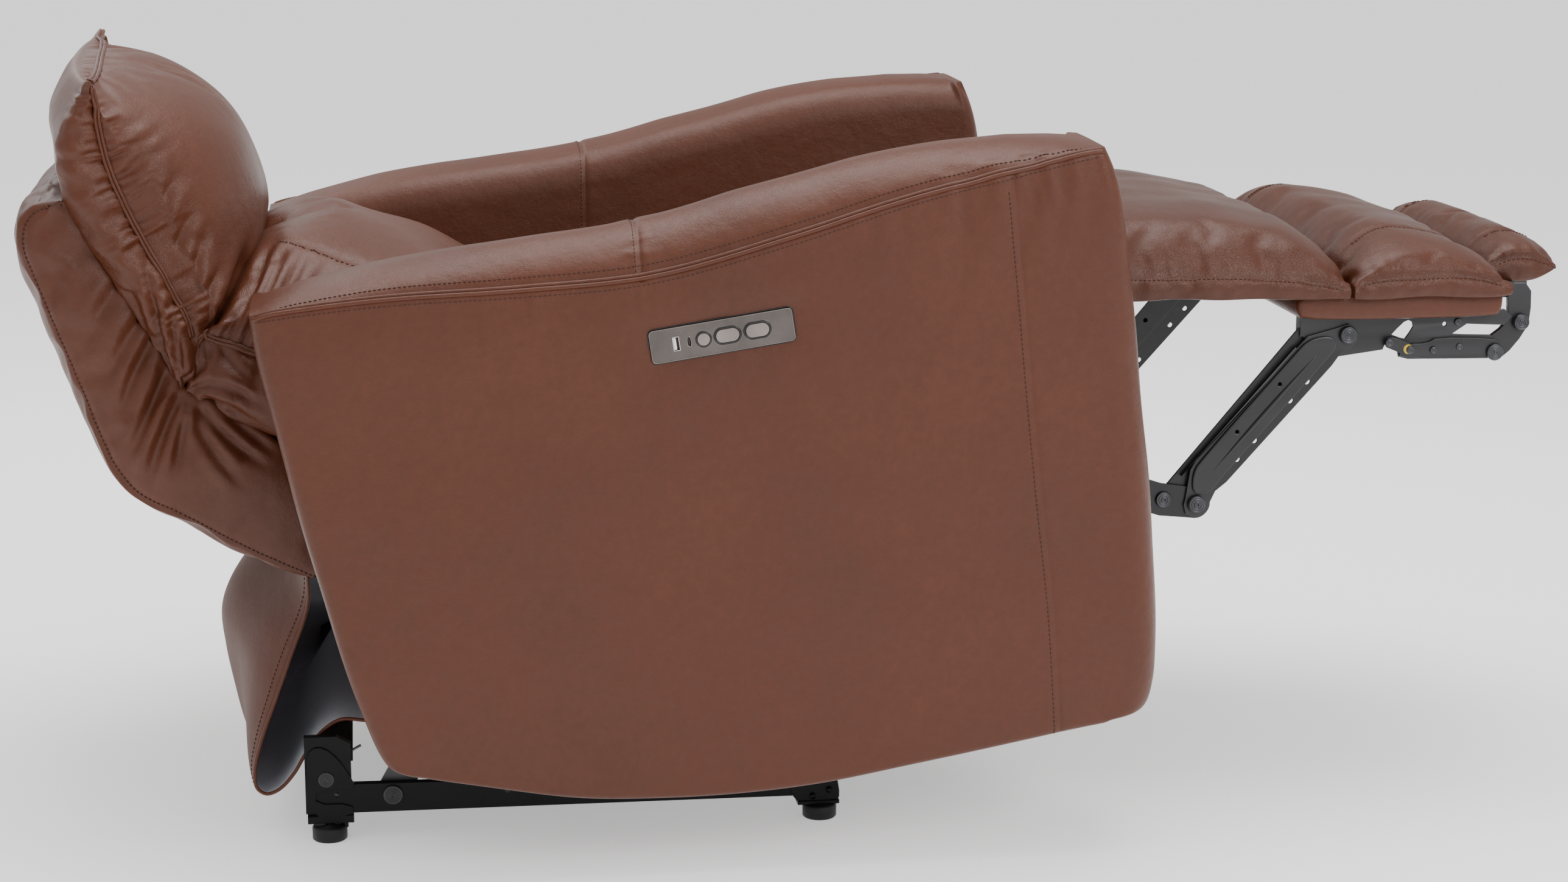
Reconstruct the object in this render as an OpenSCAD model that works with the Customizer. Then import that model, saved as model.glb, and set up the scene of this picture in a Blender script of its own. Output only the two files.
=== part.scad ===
// Power recliner armchair, shown laid back with the leg rest out.
// Millimetres. Z is up, -Y is the way the sitter faces, the origin is on the floor.
// Side shapes are drawn as [forward, up] points and given a span across the chair.

/* [Chair] */
// Overall width across both arms
chair_width = 828; // [800:2:880]
// Width of one arm
arm_width = 140; // [130:1:150]
// Width of the leather seat, back and leg pads
pad_width = 524; // [516:1:528]
// Width of the small pad at the foot end
foot_pad_width = 350; // [280:5:400]

/* [Arms] */
// Thickness of the padding on the inner face of an arm
inner_pad = 15.5; // [12:0.5:18]
// Thickness of the padded outer panel of an arm
outer_pad = 24; // [20:0.5:28]

/* [Mechanism] */
// Thickness of the stamped steel links
link_gauge = 4; // [2.5:0.1:4]
// Thickness of the brackets and side plates
plate_gauge = 3; // [2:0.1:3]
// Radius of the rivet shafts
pin_radius = 5; // [4:0.1:5.5]
// Radius of the rivet heads
head_radius = 9; // [8:0.1:10]
// Radial clearance between a rivet and its hole
running_fit = 0.05; // [0.02:0.01:0.1]
// Radius of the cross tubes
tube_radius = 12; // [10:0.5:13]

/* [Pads] */
// Radius of the rounded seat front that the leg pad turns around
nose_radius = 56; // [50:1:58]
// Radius of the padded roll that the headrest turns around
roll_radius = 56; // [50:1:57]
// Width of the hanging flap behind the seat
flap_width = 480; // [440:5:480]

/* [Control plate] */
// Length of the control plate
panel_length = 137; // [125:1:140]
// Height of the control plate
panel_height = 31.5; // [28:0.5:34]
// Slope of the control plate in degrees
panel_tilt = 8.5; // [6:0.5:11]

/* [Hidden] */
$fn = 48;
eps = 0.3;
arm_out = chair_width / 2;
arm_in = arm_out - arm_width;
pad_half = pad_width / 2;
core_in = arm_in + inner_pad + eps;
core_out = arm_out - outer_pad - eps;

// Pivots, as [forward, up]
back_pivot = [-320, 414];
head_pivot = [-658, 442];
fold_pivot = [275, 569];
drive_pivot = [119, 395];
elbow_a = [387, 312];
elbow_b = [353, 317];
link_step = fold_pivot - drive_pivot;
bracket_a = elbow_a + link_step;
bracket_b = elbow_b + link_step;
flip_pivot = [702, 464];
rear_base = [-445, 45];
rear_seat = [-361.2, 191.3];
front_base = [-38, 45];
front_seat = [-19.65, 199.7];

// Layers across the chair, as distance from its middle
plate_in = 243;
link_a_in = 232.5;
bracket_in = 229;
link_b_in = 224.5;
flip_in = 221;
swing_in = 248;
rail_in = 252;
rail_out = 262;
board_in = 262.5;
screw_travel = [[-250, 262], [60, 306]];

// Outline of the outside of an arm
arm_top_edge = [[-568, 560], [-436, 574], [-319, 579], [-196, 589], [-62, 623], [54, 659], [152, 683], [240, 703]];
arm_front_edge = [[245, 703], [259, 652], [273, 571], [289, 433], [301, 312], [306, 213], [305, 170], [290, 136]];
arm_bottom_edge = [[207, 126], [58, 99], [-32, 84], [-121, 77], [-198, 77], [-269, 81], [-356, 95], [-443, 112]];
arm_rear_edge = [[-454, 118], [-470, 164], [-511, 306], [-536, 411]];
arm_outline = concat(arm_top_edge, arm_front_edge, arm_bottom_edge, arm_rear_edge);

// Crown of the arm top, and the wooden core under it
arm_crest = [[-563, 563], [-458, 587], [-366, 600], [-285, 609], [-203, 621], [-111, 647], [8, 677], [96, 697], [162, 705], [210, 708], [238, 706]];
core_top = [[-546, 540], [-430, 554], [-319, 559], [-196, 569], [-60, 602], [54, 637], [152, 662], [233, 682]];
core_front = [[255, 560], [270, 433], [281, 300], [284, 180], [270, 152]];
core_bottom = [[205, 147], [58, 120], [-32, 105], [-121, 98], [-198, 98], [-269, 102], [-356, 116], [-430, 134]];
core_rear = [[-450, 175], [-492, 315], [-516, 411]];

// Back shell and headrest shell, seen from the side
back_outer = [[-700, 384], [-684, 360], [-641, 335], [-584, 302], [-514, 268]];
back_inner = [[-508, 282], [-577, 316], [-634, 350], [-673, 371], [-688, 392]];
head_outer = [[-745, 646], [-776, 642], [-786, 628], [-790, 611], [-770, 552], [-744, 485], [-724, 430]];
head_inner = [[-717, 438], [-732, 485], [-757, 555], [-775, 611], [-770, 628], [-748, 632]];

module slab(points, x0, x1) {
    translate([x1, 0, 0])
        rotate([90, 0, -90])
            linear_extrude(height = x1 - x0)
                polygon(points);
}

module rod(centre, x0, x1, r) {
    translate([x0, -centre[0], centre[1]])
        rotate([0, 90, 0])
            cylinder(h = x1 - x0, r = r);
}

module to_left() {
    mirror([1, 0, 0])
        children();
}

module both_sides() {
    children();
    to_left()
        children();
}

// A flat bar with round ends between two points, in the layer x0 to x1
module bar(a, b, half, x0, x1) {
    run = b - a;
    reach = norm(run);
    side = [-run[1], run[0]] * (half / reach);
    slab([a + side, b + side, b - side, a - side], x0, x1);
    rod(a, x0, x1, half);
    rod(b, x0, x1, half);
}

// A rivet staked in the plate that ends at x0, with its head out at x1; right hand side
module rivet_out(centre, x0, x1) {
    rod(centre, x0, x1 - 3, pin_radius);
    rod(centre, x1 - 3, x1, head_radius);
}

// A rivet staked in the plate that starts at x1, with its head in towards the middle
module rivet_in(centre, x0, x1) {
    rod(centre, x0 + 3, x1, pin_radius);
    rod(centre, x0, x0 + 3, head_radius);
}

module pin_hole(centre, x0, x1) {
    rod(centre, x0 - 1, x1 + 1, pin_radius + running_fit);
}

// ---- Base ----

module base_rail() {
    slab([[-532, 28], [8, 24], [8, 50], [-532, 58]], rail_in, rail_out);
    rivet_in(rear_base, swing_in - 3.4, rail_in + 1);
    rivet_in(front_base, swing_in - 3.4, rail_in + 1);
}

module base_rail_left() {
    color("DimGray") base_rail();
}

module base_rail_right() {
    color("DimGray") to_left() base_rail();
}

module base_front_tube() {
    color("DimGray") rod([-150, 42], -rail_in, rail_in, tube_radius);
}

module base_rear_beam() {
    color("DimGray") slab([[-520, 79], [-484, 79], [-484, 92], [-520, 92]], -rail_in, rail_in);
}

module rear_post() {
    slab([[-532, 58.2], [-486, 57.5], [-486, 100], [-500, 108], [-532, 108]], rail_in, rail_out);
}

module rear_post_left() {
    color("DimGray") rear_post();
}

module rear_post_right() {
    color("DimGray") to_left() rear_post();
}

module foot_glides() {
    foot_x = (rail_in + rail_out) / 2;
    color("Black") both_sides() {
        translate([foot_x, 509, 0]) cylinder(h = 18, r = 21);
        translate([foot_x, 509, 0]) cylinder(h = 27.8, r = 5);
        translate([foot_x, 10, 0]) cylinder(h = 16, r = 21);
        translate([foot_x, 10, 0]) cylinder(h = 24, r = 5);
    }
}

// ---- Swing links that carry the seat on the base ----

module swing_link(low, high) {
    x1 = rail_in - 0.5;
    difference() {
        bar(low, high, 16, swing_in, x1);
        pin_hole(low, swing_in, x1);
        pin_hole(high, swing_in, x1);
    }
}

module rear_swing_left() {
    color("SlateGray") swing_link(rear_base, rear_seat);
}

module rear_swing_right() {
    color("SlateGray") to_left() swing_link(rear_base, rear_seat);
}

// The top rivet of the front link stays in the link, because its seat joint is left open
module front_swing() {
    x1 = rail_in - 0.5;
    difference() {
        bar(front_base, front_seat, 16, swing_in, x1);
        pin_hole(front_base, swing_in, x1);
    }
    rod(front_seat, x1 - 0.5, rail_in + 2, head_radius);
}

module front_swing_left() {
    color("SlateGray") front_swing();
}

module front_swing_right() {
    color("SlateGray") to_left() front_swing();
}

// ---- Seat frame ----

module seat_plate() {
    x1 = plate_in + link_gauge;
    difference() {
        slab([[-345, 440], [-300, 440], [-200, 418], [100, 428], [150, 420], [150, 376], [60, 345], [12, 300],
            [12, 184], [-45, 184], [-62, 240], [-200, 290], [-325, 240], [-336, 172], [-386, 172], [-386, 215],
            [-352, 300]], plate_in, x1);
        pin_hole(drive_pivot, plate_in, x1);
        pin_hole(back_pivot, plate_in, x1);
    }
    rivet_out(rear_seat, x1 - 1, rail_in + 3);
    rod(front_seat, x1 - 1, x1 + 0.6, head_radius);
}

module seat_plate_left() {
    color("DimGray") seat_plate();
}

module seat_plate_right() {
    color("DimGray") to_left() seat_plate();
}

module seat_front_tube() {
    color("DimGray") rod([60, 405], -plate_in, plate_in, tube_radius);
}

module seat_rear_tube() {
    color("DimGray") rod([-290, 330], -plate_in, plate_in, tube_radius);
}

module seat_board() {
    slab([[-330, 385], [190, 460], [190, 395], [-330, 320]], board_in, core_in - 0.2);
}

module seat_board_left() {
    color("Tan") seat_board();
}

module seat_board_right() {
    color("Tan") to_left() seat_board();
}

module seat_springs() {
    color("Silver") for (place = [-200 : 80 : 200])
        slab([[-205, 421], [-150, 425], [-30, 437], [100, 454], [185, 469], [185, 465], [100, 450], [-30, 433],
            [-150, 421], [-205, 417]], place - 5, place + 5);
}

module seat_cushion() {
    color("SaddleBrown") slab([[-216, 424], [-219, 440], [-228, 470], [-245, 494], [-120, 520], [0, 545], [120, 568],
        [205, 584], [211, 560], [203, 530], [192, 505], [188, 474], [100, 457], [-30, 440], [-150, 428]],
        -pad_half, pad_half);
}

module seat_nose() {
    color("SaddleBrown") difference() {
        rod(fold_pivot, -pad_half, pad_half, nose_radius);
        slab([[200, 480], [350, 480], [350, 531], [200, 531]], -pad_half - 1, pad_half + 1);
        slab([[200, 604], [350, 604], [350, 650], [200, 650]], -pad_half - 1, pad_half + 1);
    }
}

module rear_rail() {
    color("Tan") slab([[-462, 128], [-436, 122], [-430, 152], [-456, 158]], -core_in + 0.2, core_in - 0.2);
}

// ---- Arms ----

module arm_core() {
    difference() {
        slab(concat(core_top, core_front, core_bottom, core_rear), core_in, core_out);
        slab([[-400, 500], [-60, 545], [120, 590], [190, 590], [215, 470], [100, 452], [-200, 415], [-380, 400]],
            core_in + 18, core_out + 1);
    }
}

module arm_top() {
    slab(concat(arm_crest, [[234, 684], [152, 664], [54, 639], [-60, 604], [-196, 571], [-319, 561],
        [-430, 556], [-548, 543], [-560, 552]]), arm_in, core_out);
    slab([[-548, 543], [-430, 556], [-319, 561], [-196, 571], [-60, 604], [54, 639], [152, 664], [232, 683],
        [254, 560], [261, 482], [200, 464], [-200, 408], [-330, 390], [-500, 385], [-522, 411]],
        arm_in, core_in - eps);
}

module arm_front_pad() {
    slab(concat([[240, 703]], arm_front_edge, [[207, 126], [205, 144.5], [271, 149.5], [286, 179], [283, 300],
        [272, 433], [257, 560], [236, 682]]), arm_in, core_out);
}

module arm_outer() {
    slab(arm_outline, core_out + eps, arm_out);
    slab(concat([[240, 703]], arm_front_edge, [[207, 126], [205, 144.5], [271, 149.5], [286, 179], [283, 300],
        [272, 433], [257, 560], [236, 682]]), arm_in, core_out + 1);
}

module arm_core_left() {
    color("Tan") arm_core();
}

module arm_core_right() {
    color("Tan") to_left() arm_core();
}

module arm_top_left() {
    color("Sienna") arm_top();
}

module arm_top_right() {
    color("Sienna") to_left() arm_top();
}

module arm_outer_left() {
    color("Sienna") arm_outer();
}

module arm_outer_right() {
    color("Sienna") difference() {
        to_left() arm_outer();
        on_panel(-3.4, 6) plate_shape(panel_length + 0.6, panel_height + 0.6, 4.3);
        on_panel(-60, 60) plate_shape(108, 22, 4);
    }
}

// ---- Control plate on the outside of the right arm ----

panel_centre = [-127.5, 532];
panel_face = arm_out + 0.5;
port_a_at = -0.32 * panel_length;
port_c_at = -0.23 * panel_length;
home_at = -0.13 * panel_length;
recline_at = 0.037 * panel_length;
headrest_at = 0.246 * panel_length;

// Draws in the plate's own plane: x runs forward, y up, z out of the arm; the face is at z 0
module on_panel(z0, height) {
    translate([-panel_face, -panel_centre[0], panel_centre[1]])
        rotate([90, 0, -90])
            rotate([0, 0, panel_tilt])
                translate([0, 0, z0])
                    linear_extrude(height = height)
                        children();
}

module plate_shape(long, high, r) {
    square([long - 2 * r, high], center = true);
    square([long, high - 2 * r], center = true);
    for (along = [-1, 1], across = [-1, 1])
        translate([along * (long / 2 - r), across * (high / 2 - r)])
            circle(r = r);
}

// Draws solids in the same plane, with z out of the arm
module in_panel() {
    translate([-panel_face, -panel_centre[0], panel_centre[1]])
        rotate([90, 0, -90])
            rotate([0, 0, panel_tilt])
                children();
}

module oval_shape(long, high) {
    translate([-(long - high) / 2, 0]) circle(d = high);
    translate([(long - high) / 2, 0]) circle(d = high);
    square([long - high, high], center = true);
}

module control_plate() {
    color("Gray") difference() {
        on_panel(-3, 3) plate_shape(panel_length, panel_height, 4);
        on_panel(-4, 5) translate([port_a_at, 0]) square([6.2, 13.2], center = true);
        on_panel(-4, 5) translate([port_c_at, 0]) rotate(90) oval_shape(9.6, 3.8);
        on_panel(-4, 5) translate([home_at, 0]) circle(d = 13);
        on_panel(-4, 5) translate([recline_at, 0]) oval_shape(24, 14);
        on_panel(-4, 5) translate([headrest_at, 0]) oval_shape(24, 14);
    }
}

module usb_ports() {
    color("Silver") {
        on_panel(-14, 13.8) translate([port_a_at, 0]) difference() {
            square([6, 13], center = true);
            square([5, 12], center = true);
        }
        on_panel(-14, 9) translate([port_a_at + 1.4, 0]) square([2.3, 12.1], center = true);
        on_panel(-14, 2) translate([port_a_at, 0]) square([6, 13], center = true);
        on_panel(-14, 13.8) translate([port_c_at, 0]) rotate(90) difference() {
            oval_shape(9.4, 3.6);
            oval_shape(8.6, 2.8);
        }
        on_panel(-14, 2) translate([port_c_at, 0]) rotate(90) oval_shape(9.4, 3.6);
        on_panel(-14, 12) translate([port_c_at, 0]) rotate(90) square([6.6, 0.8], center = true);
    }
}

module home_button() {
    color("LightGray") {
        on_panel(-8, 9.5) translate([home_at, 0]) circle(d = 11.6);
        on_panel(-10, 2.2) translate([home_at, 0]) circle(d = 14);
    }
}

module rocker(at) {
    on_panel(-7, 8.4) translate([at, 0]) oval_shape(22, 12.4);
    on_panel(-9, 2.2) translate([at, 0]) oval_shape(20, 13.6);
    in_panel() translate([at, -8.5, -6]) rotate([-90, 0, 0]) cylinder(h = 17, r = 1.5);
}

module recline_rocker() {
    color("LightGray") rocker(recline_at);
}

module headrest_rocker() {
    color("LightGray") rocker(headrest_at);
}

// ---- Drive under the seat ----

module drive_motor() {
    color("DimGray") {
        bar(screw_travel[0], screw_travel[1], 9, -9, 9);
        slab([[-262, 232], [-205, 240], [-212, 312], [-268, 304]], -28, 28);
    }
}

module drive_carriage() {
    run = screw_travel[1] - screw_travel[0];
    dir = run / norm(run);
    up = [-dir[1], dir[0]];
    mid = screw_travel[0] + 250 * dir;
    color("Orange") difference() {
        slab([mid - 24 * dir - 20 * up, mid + 24 * dir - 20 * up, mid + 24 * dir + 20 * up, mid - 24 * dir + 20 * up],
            -20, 20);
        slab([mid - 30 * dir - 9.3 * up, mid + 30 * dir - 9.3 * up, mid + 30 * dir + 9.3 * up,
            mid - 30 * dir + 9.3 * up], -9.3, 9.3);
    }
}

// ---- Back ----

module back_rail() {
    x0 = 226;
    x1 = plate_in - 0.5;
    bar(back_pivot, [-597 + 14, 436], 14, x0, x1);
    rod(back_pivot, x1 - 1, plate_in + link_gauge + 0.5, pin_radius);
}

module back_rail_left() {
    color("DimGray") back_rail();
}

module back_rail_right() {
    color("DimGray") to_left() back_rail();
}

module back_tube() {
    color("DimGray") rod([-520, 431], -226, 226, tube_radius);
}

module back_cushion() {
    color("SaddleBrown") slab([[-636, 470], [-625, 508], [-600, 502], [-572, 494], [-566, 522], [-558, 562],
        [-550, 588], [-530, 598], [-505, 594], [-456, 576], [-393, 552], [-352, 529], [-300, 508], [-268, 492],
        [-290, 464], [-400, 458], [-551, 456], [-632, 459]], -pad_half, pad_half);
}

module back_shell() {
    color("Sienna") {
        slab(concat(back_outer, back_inner), -pad_half, pad_half);
        both_sides()
            slab([[-684, 360], [-641, 335], [-584, 302], [-514, 268], [-440, 290], [-380, 380], [-362, 452],
                [-618, 452], [-628, 385], [-668, 373]], pad_half - 10, pad_half);
    }
}

module back_roll() {
    color("Sienna") intersection() {
        rod(head_pivot, -plate_in, plate_in, roll_radius);
        slab([[-730, 374], [-600, 374], [-600, 436], [-730, 418]], -plate_in, plate_in);
    }
}

// ---- Headrest ----

module head_board() {
    color("Tan") slab([[-668, 506], [-694, 560], [-733, 618], [-746, 610], [-708, 552], [-681, 499]], -240, 240);
}

module headrest_pillow() {
    color("SaddleBrown") slab([[-662, 520], [-632, 530], [-600, 522], [-582, 534], [-574, 560], [-566, 614],
        [-570, 650], [-590, 696], [-638, 741], [-698, 766], [-742, 768], [-760, 742], [-762, 700], [-750, 657],
        [-727, 618], [-688, 562]], -pad_half, pad_half);
}

module head_shell() {
    color("Sienna") {
        slab(concat(head_outer, head_inner), -pad_half, pad_half);
        both_sides()
            slab([[-748, 640], [-776, 642], [-786, 628], [-790, 611], [-770, 552], [-744, 485], [-724, 430],
                [-716, 438], [-706, 480], [-680, 492], [-710, 556], [-748, 612]], pad_half - 10, pad_half);
    }
}

// ---- Leg rest ----

module calf_pad() {
    color("SaddleBrown") slab([[323, 530], [334, 550], [336, 569], [334, 588], [328, 601], [361, 604], [400, 598],
        [448, 589], [500, 573], [534, 556], [534, 533], [486, 533]], -pad_half, pad_half);
}

module ottoman_pad() {
    color("SaddleBrown") slab([[539, 533], [539, 562], [560, 577], [600, 580], [651, 572], [690, 560], [704, 548],
        [701, 533]], -pad_half, pad_half);
}

module ottoman_board() {
    color("Sienna") slab([[489, 508], [698, 508], [698, 532], [489, 532]], -250, 250);
}

module ottoman_bracket() {
    x1 = bracket_in + plate_gauge;
    difference() {
        slab([[489, 507.7], [489, 484], [533, 462], [600, 458], [698, 450], [714, 454], [716, 470], [702, 480],
            [672, 507.7]], bracket_in, x1);
        pin_hole(flip_pivot, bracket_in, x1);
    }
    rivet_out(bracket_a, x1 - 1, link_a_in + link_gauge + 3.3);
    rivet_in(bracket_b, link_b_in - 3.4, bracket_in + 1);
}

module ottoman_bracket_left() {
    color("DimGray") ottoman_bracket();
}

module ottoman_bracket_right() {
    color("DimGray") to_left() ottoman_bracket();
}

module lower_link() {
    x1 = bracket_in + plate_gauge;
    slab([drive_pivot + [-8, 17], elbow_b + [-2, 17], elbow_a + [4, 16], elbow_a + [2, -16], elbow_b + [-4, -17],
        drive_pivot + [-8, -17]], bracket_in, x1);
    rod(drive_pivot, bracket_in, x1, 18);
    rod(elbow_a, bracket_in, x1, 16);
    rod(drive_pivot, x1 - 1, plate_in + link_gauge + 0.3, pin_radius);
    rod(drive_pivot, plate_in + link_gauge + 0.3, plate_in + link_gauge + 3, head_radius);
    rivet_out(elbow_a, x1 - 1, link_a_in + link_gauge + 3.3);
    rivet_in(elbow_b, link_b_in - 3.4, bracket_in + 1);
}

module lower_link_left() {
    color("DimGray") lower_link();
}

module lower_link_right() {
    color("DimGray") to_left() lower_link();
}

module link_a() {
    x1 = link_a_in + link_gauge;
    difference() {
        bar(elbow_a, bracket_a, 19, link_a_in, x1);
        pin_hole(elbow_a, link_a_in, x1);
        pin_hole(bracket_a, link_a_in, x1);
    }
}

module link_b() {
    x1 = link_b_in + link_gauge;
    difference() {
        bar(elbow_b, bracket_b, 14, link_b_in, x1);
        pin_hole(elbow_b, link_b_in, x1);
        pin_hole(bracket_b, link_b_in, x1);
    }
}

module long_link_left() {
    color("DimGray") link_a();
}

module long_link_right() {
    color("DimGray") to_left() link_a();
}

module inner_link_left() {
    color("DimGray") link_b();
}

module inner_link_right() {
    color("DimGray") to_left() link_b();
}

// ---- Small pad that flips out at the foot end ----

module flip_plate() {
    x1 = bracket_in - 0.5;
    slab([[690, 456], [714, 456], [736, 484], [741, 510], [741, 519.8], [712, 519.8], [716, 500], [690, 474]],
        flip_in, x1);
    rod(flip_pivot, x1 - 1, bracket_in + plate_gauge + 0.3, pin_radius);
    rod(flip_pivot, bracket_in + plate_gauge + 0.3, bracket_in + plate_gauge + 3.3, head_radius);
}

module flip_plate_left() {
    color("DimGray") flip_plate();
}

module flip_plate_right() {
    color("DimGray") to_left() flip_plate();
}

module flip_board() {
    color("DimGray") slab([[712, 520], [778, 520], [778, 527], [712, 527]], -228, 228);
}

module flip_pad() {
    color("SaddleBrown") slab([[712, 527.5], [714, 562], [740, 570], [770, 569], [787, 562], [791, 550], [782, 534],
        [770, 527.5]], -foot_pad_width / 2, foot_pad_width / 2);
}

// ---- Flap behind the seat ----

module rear_flap() {
    color("Sienna") slab([[-556, 268], [-590, 232], [-592, 150], [-585, 80], [-574, 52], [-556, 50], [-544, 70],
        [-528, 108], [-504, 122], [-470, 122], [-466, 128], [-505, 128], [-532, 114], [-550, 74], [-558, 56],
        [-571, 57], [-579, 82], [-586, 150], [-584, 230], [-551, 263]], -flap_width / 2, flap_width / 2);
}

base_rail_left();
base_rail_right();
base_front_tube();
base_rear_beam();
rear_post_left();
rear_post_right();
foot_glides();
rear_swing_left();
rear_swing_right();
front_swing_left();
front_swing_right();
seat_plate_left();
seat_plate_right();
seat_front_tube();
seat_rear_tube();
seat_board_left();
seat_board_right();
seat_springs();
seat_cushion();
seat_nose();
rear_rail();
arm_core_left();
arm_core_right();
arm_top_left();
arm_top_right();
arm_outer_left();
arm_outer_right();
control_plate();
usb_ports();
home_button();
recline_rocker();
headrest_rocker();
drive_motor();
drive_carriage();
back_rail_left();
back_rail_right();
back_tube();
back_cushion();
back_shell();
back_roll();
head_board();
headrest_pillow();
head_shell();
calf_pad();
ottoman_pad();
ottoman_board();
ottoman_bracket_left();
ottoman_bracket_right();
lower_link_left();
lower_link_right();
long_link_left();
long_link_right();
inner_link_left();
inner_link_right();
flip_plate_left();
flip_plate_right();
flip_board();
flip_pad();
rear_flap();
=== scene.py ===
import math
import bpy
import bmesh
import numpy as np
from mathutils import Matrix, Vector
from mathutils.bvhtree import BVHTree
from mathutils.kdtree import KDTree


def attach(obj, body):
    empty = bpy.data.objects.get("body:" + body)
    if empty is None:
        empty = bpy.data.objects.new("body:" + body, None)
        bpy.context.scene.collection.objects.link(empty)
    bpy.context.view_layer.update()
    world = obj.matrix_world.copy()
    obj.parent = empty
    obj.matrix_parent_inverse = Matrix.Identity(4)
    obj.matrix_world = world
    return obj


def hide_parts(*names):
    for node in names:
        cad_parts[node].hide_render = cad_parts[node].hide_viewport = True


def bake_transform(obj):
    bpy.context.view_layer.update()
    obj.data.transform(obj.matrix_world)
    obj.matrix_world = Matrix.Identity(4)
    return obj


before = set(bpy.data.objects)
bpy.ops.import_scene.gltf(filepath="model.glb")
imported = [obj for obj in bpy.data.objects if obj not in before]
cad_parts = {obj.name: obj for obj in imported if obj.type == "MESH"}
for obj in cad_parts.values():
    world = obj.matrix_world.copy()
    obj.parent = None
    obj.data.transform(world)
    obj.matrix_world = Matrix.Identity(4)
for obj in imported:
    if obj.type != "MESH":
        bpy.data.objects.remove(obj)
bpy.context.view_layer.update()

scene = bpy.context.scene
SIDES = ((-1, "right"), (1, "left"))

# ---- Points and curves: side shapes are [forward, up] in mm, x is across the chair ----

def place(u, v, x):
    """Points in mm as [forward, up, across], turned into the frame's metres."""
    u, v, x = np.broadcast_arrays(u, v, x)
    return np.stack([x, -u, v], -1) / 1000.0

def pairs(*numbers):
    """Points from a row of numbers: forward, up, forward, up and so on."""
    return list(zip(numbers[::2], numbers[1::2]))

def hermite(points, knots, at):
    """A smooth curve through points that stand at the knots."""
    p, k = np.array(points, float), np.array(knots, float)
    seg = (p[1:] - p[:-1]) / (k[1:] - k[:-1])[:, None]
    tan = np.vstack([seg[:1], (seg[1:] + seg[:-1]) / 2, seg[-1:]])
    i = np.clip(np.searchsorted(k, at, side="right") - 1, 0, len(k) - 2)
    h = (k[i + 1] - k[i])[:, None]
    t = ((at - k[i]) / (k[i + 1] - k[i]))[:, None]
    return ((2 * t**3 - 3 * t**2 + 1) * p[i] + (t**3 - 2 * t**2 + t) * h * tan[i]
            + (-2 * t**3 + 3 * t**2) * p[i + 1] + (t**3 - t**2) * h * tan[i + 1])

def lengths(p):
    return np.r_[0, np.cumsum(np.linalg.norm(np.diff(p, axis=0), axis=1))]

def pick(p, at):
    """Points of a polyline at the given distances from its start."""
    a = lengths(p)
    return np.stack([np.interp(at, a, column) for column in p.T], 1)

def even(p, n):
    return pick(p, np.linspace(0, lengths(p)[-1], n))

def path(points, n):
    p = np.array(points, float)
    k = lengths(p)
    return even(hermite(p, k, np.linspace(0, k[-1], 24 * len(p))), n)

def line_at(points, x, n=60):
    """A side curve at one place across the chair."""
    return path([(u, v, x) for u, v in points], n)

def unit(rows):
    return rows / (np.linalg.norm(rows, axis=-1, keepdims=True) + 1e-12)

def smooth(a, b, x):
    t = np.clip((x - a) / (b - a), 0, 1)
    return t * t * (3 - 2 * t)

def bell(x, width):
    return np.exp(-(x / width) ** 2)

def circle(n, radius=1.0):
    return [(radius * math.cos(a), radius * math.sin(a)) for a in np.arange(n) * 2 * math.pi / n]

def wobble(p, size, seed):
    """Soft random hills over points, about one size apart."""
    rng = np.random.default_rng(seed)
    out = 0
    for k in range(7):
        d = rng.normal(size=p.shape[-1])
        d = d / np.linalg.norm(d) * rng.uniform(0.7, 1.6) * 2 * math.pi / size
        out = out + np.sin(p @ d + rng.uniform(0, 6.28))
    return out / 3.0

def ripples(s, size, seed):
    """Uneven waves along s, about one size apart."""
    rng = np.random.default_rng(seed)
    a = 2 * math.pi / size
    w = np.sin(a * s + 1.9 * np.sin(a * s * 0.27 + rng.uniform(0, 6)) + rng.uniform(0, 6))
    w = w + 0.6 * np.sin(a * 0.61 * s + rng.uniform(0, 6))
    return w * (0.6 + 0.4 * np.sin(a * 0.17 * s + rng.uniform(0, 6)))

def along(points, line):
    """Distance from each point to a line of points, and how far along the line it is."""
    a = lengths(line)
    best = np.full(len(points), 1e9)
    where = np.zeros(len(points))
    for k in range(len(line) - 1):
        ab = line[k + 1] - line[k]
        t = np.clip((points - line[k]) @ ab / (ab @ ab + 1e-12), 0, 1)
        d = np.linalg.norm(points - line[k] - t[:, None] * ab, axis=1)
        near = d < best
        best[near] = d[near]
        where[near] = (a[k] + t * (a[k + 1] - a[k]))[near]
    return best, where

def crease(p, line, width, depth):
    """A fold: a sharp valley along a line in the side view, with a soft ridge on each side."""
    line = path(line, 30)
    d, s = along(p[:, :2], line)
    t = s / lengths(line)[-1]
    strong = smooth(0, 0.12, t) * (1 - smooth(0.65, 1, t)) * (1 - 0.5 * t)
    shape = 0.6 * bell(d - width, width * 0.6) - bell(d, width * 0.42)
    return np.where(d < width * 3, strong * depth * shape, 0)

def folds(p, *rows):
    """Several creases; each row is a width, a depth and the points of the crease."""
    return sum(crease(p, pairs(*points), width, depth) for width, depth, *points in rows)

# ---- Meshes ----

def clean(mesh):
    bm = bmesh.new()
    bm.from_mesh(mesh)
    bmesh.ops.remove_doubles(bm, verts=bm.verts, dist=2e-6)
    bmesh.ops.recalc_face_normals(bm, faces=bm.faces)
    bm.to_mesh(mesh)
    bm.free()

def linked(name, data):
    obj = bpy.data.objects.new(name, data)
    scene.collection.objects.link(obj)
    return obj

def settled(obj):
    return bpy.data.meshes.new_from_object(obj.evaluated_get(bpy.context.evaluated_depsgraph_get()))

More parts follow.
